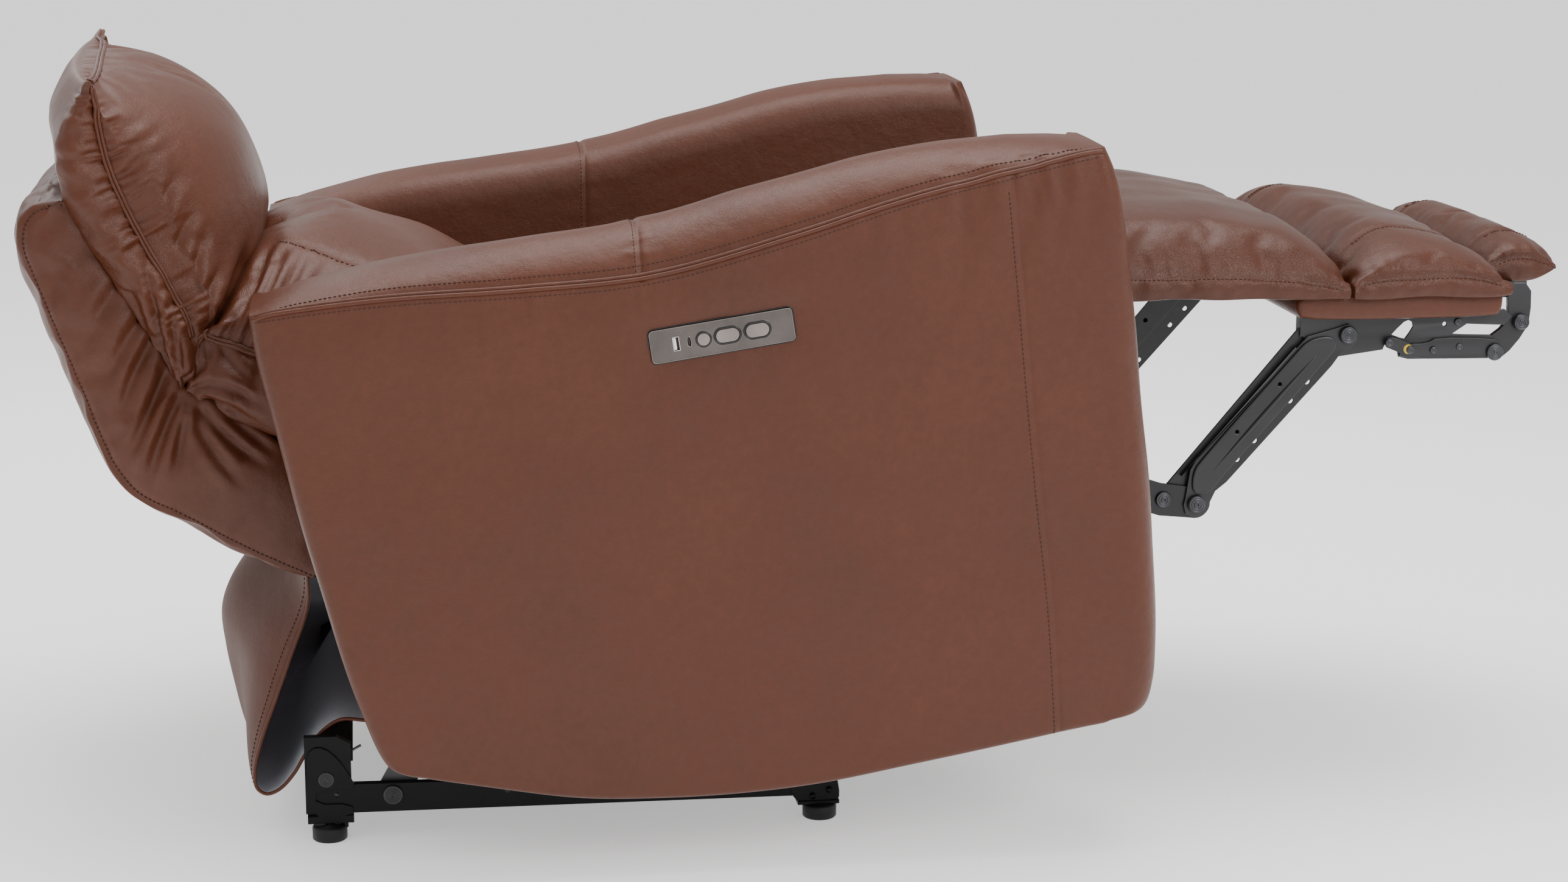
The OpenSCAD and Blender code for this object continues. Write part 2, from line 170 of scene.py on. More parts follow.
def new_mesh(name, rows, faces, mat):
    """A mesh from points given in mm."""
    mesh = bpy.data.meshes.new(name)
    mesh.from_pydata([tuple(p) for p in place(*np.array(rows, float).T)], [], faces)
    mesh.materials.append(mat)
    return mesh

def solid(name, rows, faces, mat, shade=True):
    mesh = new_mesh(name, rows, faces, mat)
    clean(mesh)
    if shade:
        mesh.shade_smooth()
    return linked(name, mesh)

def tube_faces(rows, n, closed=False):
    """Quads between rows of n points that run round a tube."""
    faces = []
    for i in range(rows if closed else rows - 1):
        a, b = i * n, (i + 1) % rows * n
        faces += [[a + j, a + (j + 1) % n, b + (j + 1) % n, b + j] for j in range(n)]
    return faces

def read(items, what, scale=1):
    flat = np.empty(len(items) * 3)
    items.foreach_get(what, flat)
    x, y, z = flat.reshape(-1, 3).T * scale
    return np.stack([-y, z, x], 1)

def coords(obj):
    return read(obj.data.vertices, "co", 1000)

def set_coords(obj, p):
    obj.data.vertices.foreach_set("co", place(*p.T).ravel())
    obj.data.update()

def push(obj, amount):
    normals = read(obj.data.vertex_normals, "vector")
    set_coords(obj, coords(obj) + normals * np.asarray(amount)[:, None])

def finer(obj, levels=1):
    obj.modifiers.new("fine", "SUBSURF").levels = levels
    mesh = settled(obj)
    obj.modifiers.clear()
    old = obj.data
    obj.data = mesh
    bpy.data.meshes.remove(old)

def sweep(line, radius, mat, sides=8, closed=False):
    """A round cord along points given as [forward, up, across]."""
    line = np.array(line, float)
    n = len(line)
    r = np.broadcast_to(np.asarray(radius, float), n)
    tan = unit(np.roll(line, -1, 0) - np.roll(line, 1, 0) if closed else np.gradient(line, axis=0))
    side = np.cross(tan[0], [-0.22, 0.93, 0.31])
    rows = []
    for k in range(n):
        side = unit(side - tan[k] * (side @ tan[k]))
        up = np.cross(tan[k], side)
        rows += [line[k] + r[k] * (c * side + s * up) for c, s in circle(sides)]
    faces = tube_faces(n, sides, closed)
    if not closed:
        faces += [list(range(sides)), list(range((n - 1) * sides, n * sides))[::-1]]
    return solid("cord", rows, faces, mat)

def surface(obj):
    faces = [list(f.vertices) for f in obj.data.polygons]
    return BVHTree.FromPolygons([v.co.copy() for v in obj.data.vertices], faces)

def lay(tree, line, lift=0.0):
    """Moves points onto a surface; gives the points and the surface's normals."""
    out, normals = [], []
    for p in line:
        c, n, *_ = tree.find_nearest(Vector(place(*p)))
        q = c + n * lift / 1000
        out.append([-q.y * 1000, q.z * 1000, q.x * 1000])
        normals.append([-n.y, n.z, n.x])
    return np.array(out), np.array(normals)

STITCH = ((-0.5, 0.35, -0.5), (-0.25, 1.0, 0.35), (0.25, 1.0, 0.35), (0.5, 0.35, -0.5))

def stitches(tree, line, pitch=4.6, length=3.4, radius=0.5, lift=0.15):
    """A row of thread stitches that lie on a surface along a line."""
    n = max(2, int(lengths(line)[-1] / pitch))
    c, normal = lay(tree, even(line, n), lift)
    tan = unit(np.gradient(c, axis=0))
    side = unit(np.cross(normal, tan))
    turns = np.arange(4) * math.pi / 2 + math.pi / 4
    rows, faces = [], []
    for k in range(n):
        base = len(rows)
        for at, share, up in STITCH:
            q = c[k] + tan[k] * length * at + normal[k] * radius * up
            rows += [q + radius * share * (math.cos(a) * side[k] + math.sin(a) * normal[k]) for a in turns]
        ends = [[3, 2, 1, 0], [12, 13, 14, 15]]
        faces += [[base + i for i in face] for face in tube_faces(4, 4) + ends]
    return solid("row", rows, faces, thread)

def ease(c, rounds=8):
    for _ in range(rounds):
        c[1:-1] = (c[:-2] + 2 * c[1:-1] + c[2:]) / 4
    return c

def welt(tree, line, mat, radius=2.0, gap=1.75, lift=0.9):
    """A sewn double ridge along a seam on a surface."""
    c, n = lay(tree, line, lift)
    c, n = ease(c), ease(n)
    across = unit(np.cross(n, np.gradient(c, axis=0)))
    grow = np.full(len(c), radius)
    grow[[0, -1]] = radius * 0.5
    return join("welt", [sweep(c + across * gap * k, grow, mat) for k in (-1, 1)])

def turned(centre, x0, x1, profile, mat, sides=28):
    """A turned piece on an axis across the chair; profile is [radius, share of the way from x0 to x1]."""
    rows = [(centre[0] + u, centre[1] + v, x0 + (x1 - x0) * share)
            for r, share in profile for u, v in circle(sides, r)]
    n = len(profile)
    faces = tube_faces(n, sides) + [list(range(sides)), list(range((n - 1) * sides, n * sides))]
    return solid("turned", rows, faces, mat)

RIVET = pairs(1, 0, 1, 0.55, 0.93, 0.8, 0.78, 0.86, 0.74, 0.7, 0.66, 0.86, 0.48, 0.9, 0.44, 0.74,
              0.36, 0.9, 0.2, 1.0, 0.16, 0.8, 0.05, 0.8)

def rivet(u, v, x0, x1, radius, mat=None):
    return turned((u, v), x0, x1, [(r * radius, share) for r, share in RIVET], mat or rivet_steel)

def plate(outline, x0, x1, mat, holes=(), bevel=0.5, rounded=0):
    """A stamped plate with its edges rounded over; holes are (u, v, radius) or lists of points."""
    data = bpy.data.curves.new("plate", "CURVE")
    data.dimensions = "2D"
    data.fill_mode = "BOTH"
    edge = np.array(outline, float)
    for _ in range(rounded):
        ahead = np.roll(edge, -1, 0)
        edge = np.stack([0.75 * edge + 0.25 * ahead, 0.25 * edge + 0.75 * ahead], 1).reshape(-1, 2)
    loops = [edge]
    for h in holes:
        loops.append(h if len(h) > 3 else np.array(circle(20, h[2])) + h[:2])
    for loop in loops:
        spline = data.splines.new("POLY")
        spline.points.add(len(loop) - 1)
        for point, (a, b) in zip(spline.points, loop):
            point.co = (a, b, 0, 1)
        spline.use_cyclic_u = True
    data.extrude = abs(x1 - x0) / 2 - bevel
    data.bevel_depth = bevel
    data.bevel_resolution = 1
    curve = linked("plate", data)
    mesh = settled(curve)
    bpy.data.objects.remove(curve)
    rows = [(v.co.x, v.co.y, v.co.z + (x0 + x1) / 2) for v in mesh.vertices]
    return solid("plate", rows, [list(f.vertices) for f in mesh.polygons], mat, shade=False)

def join(name, objs):
    """Joins a few meshes of one material into one piece."""
    bm = bmesh.new()
    for o in objs:
        bm.from_mesh(o.data)
    mesh = bpy.data.meshes.new(name)
    bm.to_mesh(mesh)
    bm.free()
    mesh.materials.append(objs[0].data.materials[0])
    if any(f.use_smooth for f in objs[0].data.polygons):
        mesh.shade_smooth()
    for o in objs:
        bpy.data.objects.remove(o)
    return linked(name, mesh)

def keep(obj, body, slot, *nodes):
    """A piece that rides on one body; when body is a blend of two, only its transform is baked in."""
    if nodes:
        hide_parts(*nodes)
    if isinstance(body, str):
        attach(obj, body)
    else:
        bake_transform(obj)
    return obj

# ---- Materials ----

class Look:
    """A material, with short ways to build its nodes."""

    def __init__(self, name):
        self.mat = bpy.data.materials.new(name)
        self.mat.use_nodes = True
        self.bsdf = self.mat.node_tree.nodes["Principled BSDF"]
        self.where = self.add("TexCoord").outputs["Object"]

    def feed(self, node, **inputs):
        """Sets inputs to values or to other nodes' outputs; To_Min stands for To Min."""
        for name, value in inputs.items():
            socket = node.inputs[name.replace("_", " ")]
            if isinstance(value, bpy.types.NodeSocket):
                self.mat.node_tree.links.new(value, socket)
            else:
                socket.default_value = value
        return node

    def add(self, kind, **inputs):
        return self.feed(self.mat.node_tree.nodes.new("ShaderNode" + kind), **inputs)

    def noise(self, scale, detail=4, rough=0.55, at=None):
        node = self.add("TexNoise", Vector=at or self.where, Scale=scale, Detail=detail, Roughness=rough)
        return node.outputs["Fac"]

    def ramp(self, source, *stops):
        node = self.add("ValToRGB", Fac=source)
        elements = node.color_ramp.elements
        while len(elements) < len(stops):
            elements.new(0.5)
        for element, (at, colour) in zip(elements, stops):
            element.position = at
            element.color = (*colour, 1)
        return node.outputs["Color"]

    def shine(self, scale, rough):
        spread = self.add("MapRange", Value=self.noise(scale), To_Min=rough[0], To_Max=rough[1])
        self.feed(self.bsdf, Roughness=spread.outputs["Result"])

    def bumps(self, *layers):
        """Bumps on top of each other, each a height, a strength and a distance."""
        below = {}
        for height, strength, distance in layers:
            node = self.add("Bump", Height=height, Strength=strength, Distance=distance, **below)
            below = {"Normal": node.outputs["Normal"]}
        self.feed(self.bsdf, **below)

BLACK, WHITE = (0, 0, 0), (1, 1, 1)

def leather(name, base, rough=(0.31, 0.45), grain=0.35, crease=0.5):
    look = Look(name)
    b = np.array(base)
    fine = look.noise(120, 3)
    colour = look.ramp(look.noise(5.5, 5), (0.3, b * 0.9), (0.5, b), (0.72, b * 1.1))
    speck = look.ramp(fine, (0.35, (0.9, 0.9, 0.9)), (0.65, (1.05, 1.05, 1.05)))
    mix = look.add("MixRGB", Fac=0.6, Color1=colour, Color2=speck)
    mix.blend_type = "MULTIPLY"
    cell = look.add("TexVoronoi", Vector=look.where, Scale=620)
    cell.feature = "DISTANCE_TO_EDGE"
    pores = look.ramp(cell.outputs["Distance"], (0.0, BLACK), (0.22, WHITE))
    look.shine(14, rough)
    look.feed(look.bsdf, Base_Color=mix.outputs["Color"], Specular_IOR_Level=0.28)
    look.bumps((look.noise(26, 6, 0.6), crease, 0.0035), (pores, grain, 0.00025), (fine, 0.25, 0.0006))
    return look.mat

def metal(name, base, rough=(0.3, 0.45), metallic=0.9, brush=None, wear=None, specular=0.5):
    look = Look(name)
    b = np.array(base)
    colour = look.ramp(look.noise(40, 5), (0.3, b * 0.85), (0.7, b * 1.15))
    if wear is not None:
        corners = look.add("NewGeometry").outputs["Pointiness"]
        worn = look.ramp(corners, (0.52, BLACK), (0.6, WHITE))
        colour = look.add("MixRGB", Fac=worn, Color1=colour, Color2=(*wear, 1)).outputs["Color"]
    look.feed(look.bsdf, Base_Color=colour, Metallic=metallic, Specular_IOR_Level=specular)
    look.shine(90, rough)
    at = look.add("Mapping", Vector=look.where, Scale=brush).outputs["Vector"] if brush else None
    look.bumps((look.noise(900, 2, at=at), 0.12, 0.0003))
    return look.mat

def plastic(name, base, rough=(0.4, 0.55), specular=0.5):
    return metal(name, base, rough, metallic=0.0, specular=specular)

def wood(name):
    look = Look(name)
    at = look.add("Mapping", Vector=look.where, Scale=(6, 1.2, 14)).outputs["Vector"]
    rings = look.noise(7, 8, 0.5, at)
    colour = look.ramp(rings, (0.35, (0.36, 0.22, 0.11)), (0.65, (0.52, 0.35, 0.19)))
    look.feed(look.bsdf, Base_Color=colour, Roughness=0.62)
    look.bumps((rings, 0.2, 0.001))
    return look.mat

def cloth(name, base, threads=1400):
    look = Look(name)
    b = np.array(base)
    weave = look.add("TexVoronoi", Vector=look.where, Scale=threads)
    weave.distance = "CHEBYCHEV"
    height = weave.outputs["Distance"]
    look.feed(look.bsdf, Base_Color=look.ramp(height, (0.1, b * 0.75), (0.6, b * 1.15)), Roughness=0.85)
    look.bumps((height, 0.5, 0.0004), (look.noise(30), 0.3, 0.002))
    return look.mat

BROWN = np.array((0.080, 0.0225, 0.0098))
hide = leather("hide", BROWN)
hide_pad = leather("hide_pad", BROWN * 1.04, rough=(0.27, 0.4), grain=0.4, crease=0.55)
# The leg pads are the same leather as the other pads; this darker copy is painted shade.
hide_leg = leather("hide_leg", BROWN * 0.82, rough=(0.25, 0.37), grain=0.4, crease=0.4)
hide_dull = leather("hide_dull", BROWN * 0.95, rough=(0.5, 0.62), crease=0.4)
thread = leather("thread", (0.050, 0.018, 0.011), rough=(0.55, 0.65))
steel = metal("black_steel", (0.009, 0.009, 0.010), (0.3, 0.44), 0.25, wear=(0.04, 0.04, 0.043))
# The base frame is the same black steel as the links; this darker, less shiny copy is painted shade for the
# base, which sits low in shadow.
base_steel_painted_shade = metal("base_steel_painted_shade", (0.003, 0.003, 0.0033), (0.36, 0.5), 0.2, specular=0.2)
rivet_steel = metal("rivet_steel", (0.055, 0.055, 0.06), (0.25, 0.4), 0.8)
gunmetal = metal("gunmetal", (0.115, 0.100, 0.092), (0.3, 0.38), 0.9, brush=(1, 0.03, 1))
button_metal = metal("button_metal", (0.24, 0.205, 0.19), (0.16, 0.24), 0.95)
bright = metal("bright_metal", (0.72, 0.71, 0.70), (0.12, 0.2), 1.0)
# Near-black used only as painted shade: in the gap round the control plate, round the buttons, and in the
# rail holes.
painted_shade_black = metal("painted_shade_black", (0.012, 0.011, 0.011), (0.15, 0.25), 0.2)
spring_steel = metal("spring_steel", (0.25, 0.25, 0.26), (0.35, 0.5), 0.9)
foot_black = plastic("foot_black", (0.007, 0.007, 0.0075), specular=0.3)
yellow = plastic("bush_yellow", (0.62, 0.42, 0.03), (0.35, 0.5))
pale_plastic = plastic("pale_plastic", (0.75, 0.76, 0.78), (0.3, 0.4))
carriage_grey = plastic("carriage_grey", (0.10, 0.10, 0.11), (0.35, 0.5))
plywood = wood("plywood")
lining = cloth("grey_lining", (0.42, 0.43, 0.47))
dust_cloth = cloth("dust_cloth", (0.022, 0.022, 0.024))

# ---- Padded pieces: a closed tube with a crowned face, side gussets and a back ----

PAD_HALF = 262
PILLOW_TOP = 765

def leaned(p):
    """The pillow's top is twisted a little: the near corner stands forward, the far one back."""
    p = np.array(p, float)
    w = smooth(590, PILLOW_TOP, p[:, 1])
    p[:, 0] += (6 - 15 * p[:, 2] / PAD_HALF) * w
    p[:, 1] += 5 * p[:, 2] / PAD_HALF * w
    return p

# By default a pad takes the darker leg-pad leather, which is painted shade.
def pad(name, mid, side, rear, half=PAD_HALF, nx=60, ng=5, step=8.0, crown=5.0, bulge=3.0, cap=4,
        mat=hide_leg, peak=0.0, rear_bulge=0.0, lean=None):
    """mid, side and rear are matching outlines: the face at the middle, its side seam, the back."""
    mid, side, rear = (np.array(c, float) for c in (mid, side, rear))
    k = lengths(mid) + lengths(rear) * 0.5
    fine = np.linspace(0, k[-1], 400)
    walked = lengths(hermite(mid, k, fine))
    nt = max(8, int(walked[-1] / step))
    at = np.interp(np.linspace(0, walked[-1], nt), walked, fine)
    chains = zip(*(hermite(c, k, at) for c in (mid, side, rear)))
    lin = np.linspace(-1, 1, nx + 1)
    s = lin * (1.3 - 0.3 * lin**2)
    w = (1 - np.abs(s) ** crown) ** 0.5
    r = np.linspace(0, 1, ng + 1)[1:-1]
    rings = []
    for i, (M, S, R) in enumerate(chains):
        gusset = S + (R - S) * r[:, None]
        share = min(1, (i + 1) / (nt + 1))
        out = half + bulge * np.sin(np.pi * r) * math.sin(math.pi * share) ** 0.4
        away = (R - S) / (np.linalg.norm(R - S) + 1e-9) * rear_bulge * (1 - smooth(0.1, 0.5, i / nt))
        back = R + away * np.clip(1 - s[:, None] ** 2, 0, 1)
        rings.append(np.vstack([np.c_[S + (M - S) * w[:, None], s * half], np.c_[gusset, out],
                                np.c_[back[::-1], s[::-1] * half], np.c_[gusset[::-1], -out]]))
    n = len(rings[0])
    partner = np.r_[2 * nx + ng:nx + ng - 1:-1, nx + ng - 1:nx:-1, np.arange(nx, -1, -1),
                    n - 1:2 * nx + ng:-1]
    def capped(ring):
        return [ring + ((ring + ring[partner]) / 2 - ring) * c / cap for c in range(1, cap + 1)]
    head, tail = capped(rings[0])[::-1], capped(rings[-1])
    if peak:
        for row in head + rings[:1]:
            row[:, 1] += peak * np.exp(-(half - np.abs(row[:, 2])).clip(0) / 16)
    rings = head + rings + tail
    verts = np.vstack(rings)
    if lean:
        verts = lean(verts)
    mesh = new_mesh(name, verts, tube_faces(len(rings), n), mat)
    obj = linked(name, mesh)
    held = [i * n + j for i in range(len(rings)) for j in (0, nx, *range(nx + ng, 2 * nx + ng + 1))]
    ends = [*range(n), *range(len(verts) - n, len(verts))]
    obj.vertex_groups.new(name="pin").add(sorted({*held, *ends}), 1.0, "REPLACE")
    clean(mesh)
    mesh.shade_smooth()
    return obj

def simulate(jobs, frames=20):
    """Swells the pads as cloth between their held seams, all in one run, and keeps the result."""
    starts = {}
    for obj, pressure, grow, limit, stiff in jobs:
        starts[obj.name] = coords(obj)
        mod = obj.modifiers.new("swell", "CLOTH")
        c = mod.settings
        c.quality = 5
        c.mass = 0.25
        c.tension_stiffness = c.compression_stiffness = stiff
        c.shear_stiffness = stiff * 0.4
        c.bending_stiffness = 0.3
        c.tension_damping = c.compression_damping = 8
        c.use_pressure = True
        c.uniform_pressure_force = pressure
        c.shrink_min = -grow
        c.vertex_group_mass = "pin"
        c.effector_weights.gravity = 0
        mod.collision_settings.use_collision = False
        mod.point_cache.frame_start = 1
        mod.point_cache.frame_end = frames
    for frame_number in range(1, frames + 1):
        scene.frame_set(frame_number)
    deps = bpy.context.evaluated_depsgraph_get()
    for obj, pressure, grow, limit, stiff in jobs:
        end = read(obj.evaluated_get(deps).to_mesh().vertices, "co", 1000)
        obj.evaluated_get(deps).to_mesh_clear()
        obj.modifiers.clear()
        move = end - starts[obj.name]
        far = np.linalg.norm(move, axis=1)
        move *= np.minimum(1, limit / np.maximum(far, 1e-6))[:, None]
        set_coords(obj, starts[obj.name] + move)
    scene.frame_set(1)

# The pillow runs from its top seam to the pinch at the neck
pillow = pad(
    "headrest_pillow_skin",
    pairs(-728, 766, -716, 768, -694, 763, -640, 738, -596, 696, -573, 648, -567, 612, -571, 560,
          -589, 518, -612, 488, -633, 468),
    pairs(-729, 766, -727, 750, -723, 727, -709, 686, -686, 643, -663, 602, -645, 566, -632, 538,
          -626, 516, -628, 492, -635, 468),
    pairs(-735, 766, -744, 752, -756, 728, -758, 697, -746, 655, -726, 618, -703, 582, -683, 548,
          -664, 514, -650, 487, -639, 467),
    ng=9, crown=2.5, bulge=15, cap=2, peak=3, step=7.5, rear_bulge=20, lean=leaned, mat=hide_pad)

back_pad = pad(
    "back_cushion_skin",
    pairs(-634, 469, -606, 488, -582, 512, -567, 548, -552, 584, -530, 602, -505, 601, -456, 584,
          -393, 560, -352, 536, -300, 512, -250, 484),
    pairs(-634, 466, -629, 486, -626, 506, -620, 518, -605, 514, -588, 508, -568, 500, -520, 492,
          -440, 496, -380, 494, -310, 482, -249, 471),
    pairs(-637, 462, -624, 452, -608, 442, -594, 435, -579, 429, -565, 422, -548, 416, -500, 415,
          -420, 450, -370, 458, -310, 462, -251, 465),
    260, ng=8, crown=2.6, bulge=9, cap=3, mat=hide_pad)

SEAT_SIDE = pairs(-250, 490, -225, 500, -120, 520, 0, 543, 110, 562, 185, 572)
seat_pad = pad(
    "seat_cushion_skin",
    pairs(-271, 480, -253, 503, -225, 520, -120, 546, 0, 568, 110, 588, 185, 600, 209, 592, 216, 566),
    [(-269, 475), *SEAT_SIDE, (206, 566), (216, 552)],
    pairs(-265, 469, -243, 457, -220, 436, -120, 434, 0, 448, 110, 462, 180, 476, 198, 506, 213, 538),
    260, nx=56, ng=7, crown=4, bulge=6, step=10, mat=hide_pad)

calf = pad(
    "chaise_pad_skin",
    pairs(207, 552, 215, 576, 240, 592, 275, 600, 320, 603, 361, 604, 400, 602, 448, 595, 500, 582,
          528, 568, 537, 551),
    pairs(207, 544, 222, 552, 246, 555, 275, 556, 320, 555, 361, 554, 400, 553, 448, 551, 500, 545,
          526, 540, 536, 538),
    pairs(207, 534, 225, 530, 250, 528, 275, 528, 320, 529, 361, 530, 400, 530, 448, 528, 500, 527,
          526, 527, 535, 527),
    step=7.5)

foot2 = pad(
    "ottoman_pad_skin",
    pairs(540, 548, 545, 564, 560, 577, 600, 583, 651, 576, 685, 565, 701, 555, 709, 545),
    pairs(540, 541, 550, 544, 566, 547, 600, 549, 645, 550, 675, 546, 696, 541, 708, 538),
    pairs(540, 527, 550, 527, 566, 527, 600, 527, 645, 527, 675, 527, 695, 527, 707, 528),
    step=7)

foot3 = pad(
    "flip_pad_skin",
    pairs(710, 546, 714, 558, 728, 569, 745, 572, 765, 570, 780, 564, 788, 559, 792, 554),
    pairs(710, 540, 717, 546, 730, 551, 745, 554, 765, 553, 778, 549, 786, 546, 791, 544),
    pairs(710, 528, 720, 528, 732, 528, 745, 528, 760, 528, 771, 530, 780, 534, 787, 538),
    175, nx=44, cap=3, step=6)

# The back's outer skin runs from the top of the headrest round the outside to the bottom
shell = pad(
    "back_skin",
    pairs(-768, 664, -786, 652, -793, 628, -784, 588, -770, 551, -756, 518, -743, 484, -720, 420,
          -703, 382, -684, 359, -641, 334, -584, 301, -514, 268),
    pairs(-768, 641, -779, 629, -782, 611, -774, 580, -764, 551, -752, 518, -740, 485, -718, 421,
          -701, 384, -683, 361, -640, 336, -583, 303, -514, 270),
    pairs(-740, 652, -730, 636, -716, 606, -700, 578, -686, 554, -670, 528, -655, 500, -635, 466,
          -614, 452, -590, 438, -562, 420, -526, 392, -488, 340),
    261, ng=16, crown=3, bulge=8, cap=5, step=9, mat=hide)

simulate([(pillow, 5.0, 0.035, 16, 12), (back_pad, 4.0, 0.035, 14, 12), (seat_pad, 4.0, 0.02, 14, 12),
          (calf, 4.0, 0.03, 12, 12), (foot2, 4.0, 0.03, 10, 12), (foot3, 4.0, 0.03, 7, 12),
          (shell, 2.0, 0.02, 9, 14)])

# ---- Arms ----

ARM_TOP = pairs(-566, 560, -520, 566, -436, 574, -319, 579, -196, 589, -62, 623, 54, 659, 152, 683,
                212, 697, 240, 703)
ARM_FRONT = pairs(240, 703, 250, 680, 259, 652, 273, 571, 289, 433, 301, 312, 306, 213, 305, 170,
                  298, 147, 284, 138)
ARM_BOTTOM = pairs(284, 138, 207, 126, 58, 99, -32, 84, -121, 77, -198, 77, -269, 81, -356, 95, -442, 112)
ARM_REAR = pairs(-442, 112, -452, 122, -470, 164, -511, 306, -536, 411, -560, 520, -566, 560)
CREST = pairs(-566, 0, -520, 12, -440, 25, -366, 34, -285, 41, -203, 47, -111, 50, 8, 44, 96, 34,
              162, 23, 205, 12, 240, 1)
CROSS_SEAM = pairs(-203, 588, -204, 480, -207, 300, -209, 77)
FRONT_SEAM = pairs(149, 682, 158, 600, 166, 520, 180, 388, 196, 255, 206, 126)
INNER_EDGE = pairs(-566, 418, -522, 411, -500, 387, -330, 392, -200, 410, 200, 466, 265, 484, 320, 500)
ARM_OUT, ARM_IN = 414, 274
PANEL_TILT = math.radians(8.5)
PANEL_U, PANEL_V = -127.5, 532
ACROSS = 30

def spread(n, mix=0.8):
    t = np.linspace(0, 1, n)
    return (1 - mix) * t + mix * (0.5 - 0.5 * np.cos(np.pi * t))

def sample(line, t):
    p = path(line, 400)
    return pick(p, t * lengths(p)[-1])

def cut(line, u0, u1, s):
    """Part of a curve that runs along u, between two values of u."""
    p = path(line, 800)
    if p[0, 0] > p[-1, 0]:
        p = p[::-1]
    a0, a1 = np.interp([u0, u1], p[:, 0], lengths(p))
    return pick(p, a0 + (a1 - a0) * s)

def coons(bottom, top, left, right, s, t):
    """Points of a four-sided patch; each edge is already sampled at s or t."""
    S, T = s[:, None, None], t[None, :, None]
    grid = (1 - T) * bottom[:, None] + T * top[:, None] + (1 - S) * left[None] + S * right[None]
    corners = (1 - T) * ((1 - S) * bottom[0] + S * bottom[-1]) + T * ((1 - S) * top[0] + S * top[-1])
    return grid - corners

def arm_grid():
    """The arm's side outline as three patches that meet at the two seams."""
    t = spread(64)
    knots = [(-566, -442), (-203, -209), (149, 206), (240, 284)]
    edges = [sample(line, t) for line in (ARM_REAR, CROSS_SEAM[::-1], FRONT_SEAM[::-1], ARM_FRONT[::-1])]
    columns = []
    for i, count in enumerate((46, 46, 26)):
        s = spread(count)
        (top0, low0), (top1, low1) = knots[i:i + 2]
        patch = coons(cut(ARM_BOTTOM, low0, low1, s), cut(ARM_TOP, top0, top1, s), *edges[i:i + 2], s, t)
        columns.append(patch[min(i, 1):])
    return np.vstack(columns)

def height_of(line, u):
    return np.interp(u, *np.array(line).T)

def arm(side, name):
    grid = arm_grid()
    u, v = grid[..., 0], grid[..., 1]
    front, rear, high, low = (np.linalg.norm(grid - edge, axis=2) for edge in
                              (grid[-1:], grid[:1], grid[:, -1:], grid[:, :1]))
    def drop(r_front, r_rear, r_low, r_top):
        """How far the face falls back towards its rounded edges."""
        r_front = r_front * (0.35 + 0.65 * smooth(0, 170, high))
        edges = ((front, r_front), (rear, r_rear), (high, r_top), (low, r_low))
        e = np.clip(np.sqrt(sum(np.clip(1 - far / r, 0, 1) ** 2 for far, r in edges)), 0, 1)
        near, radii = zip(*((far < radius, radius) for far, radius in edges[:3]))
        r = np.select(near, radii, r_low)
        return r * (1 - np.sqrt(1 - e * e))
    belly = smooth(0, 60, low) * smooth(0, 45, high) * smooth(0, 60, rear)
    out_x = ARM_OUT - drop(30, 14, 10, 5) - 1.5 * (1 - belly)
    under = height_of(path(INNER_EDGE, 60), u) - v
    in_x = np.maximum(ARM_IN + drop(34, 12, 8, 36), ARM_IN + 13.4 * smooth(-2, 10, under))
    if side < 0:
        du, dv = u - PANEL_U, v - PANEL_V
        a = du * math.cos(PANEL_TILT) + dv * math.sin(PANEL_TILT)
        b = dv * math.cos(PANEL_TILT) - du * math.sin(PANEL_TILT)
        off = np.hypot(np.maximum(np.abs(a) - 68.5, 0), np.maximum(np.abs(b) - 15.8, 0))
        out_x = np.where(off <= 0.01, 410.8, out_x - 1.6 * bell(off, 16))
    rise = height_of(CREST, grid[:, -1, 0])
    lift = 0.9 * rise[:, None] * (1 - smooth(0, 190, high))
    ni, nj = u.shape
    verts, index, faces = [], {}, []
    def corner(i, j, k):
        """The number of a point; the top is arched across the arm."""
        if (i, j, k) not in index:
            a, top = k / ACROSS, 0.6
            up = v[i, j]
            if k == ACROSS:
                up += lift[i, j]
            elif j == nj - 1:
                fall = 1 - 0.1 * ((a - top) / (1 - top)) ** 2
                up += rise[i] * (math.sin(math.pi / 2 * a / top) ** 0.62 if a < top else fall)
            elif i in (0, ni - 1):
                up += lift[i, j] * a
            index[i, j, k] = len(verts)
            verts.append((u[i, j], up, side * (out_x[i, j] + (in_x[i, j] - out_x[i, j]) * a)))
        return index[i, j, k]
    def wall(rows, columns, at):
        for i in range(rows):
            for j in range(columns):
                faces.append([corner(*at(i + a, j + b)) for a, b in ((0, 0), (1, 0), (1, 1), (0, 1))])
    for k in (0, ACROSS):
        wall(ni - 1, nj - 1, lambda i, j: (i, j, k))
    for j in (0, nj - 1):
        wall(ni - 1, ACROSS, lambda i, k: (i, j, k))
    for i in (0, ni - 1):
        wall(nj - 1, ACROSS, lambda j, k: (i, j, k))
    return solid("arm_skin_" + name, verts, faces, hide), grid[:, -1]

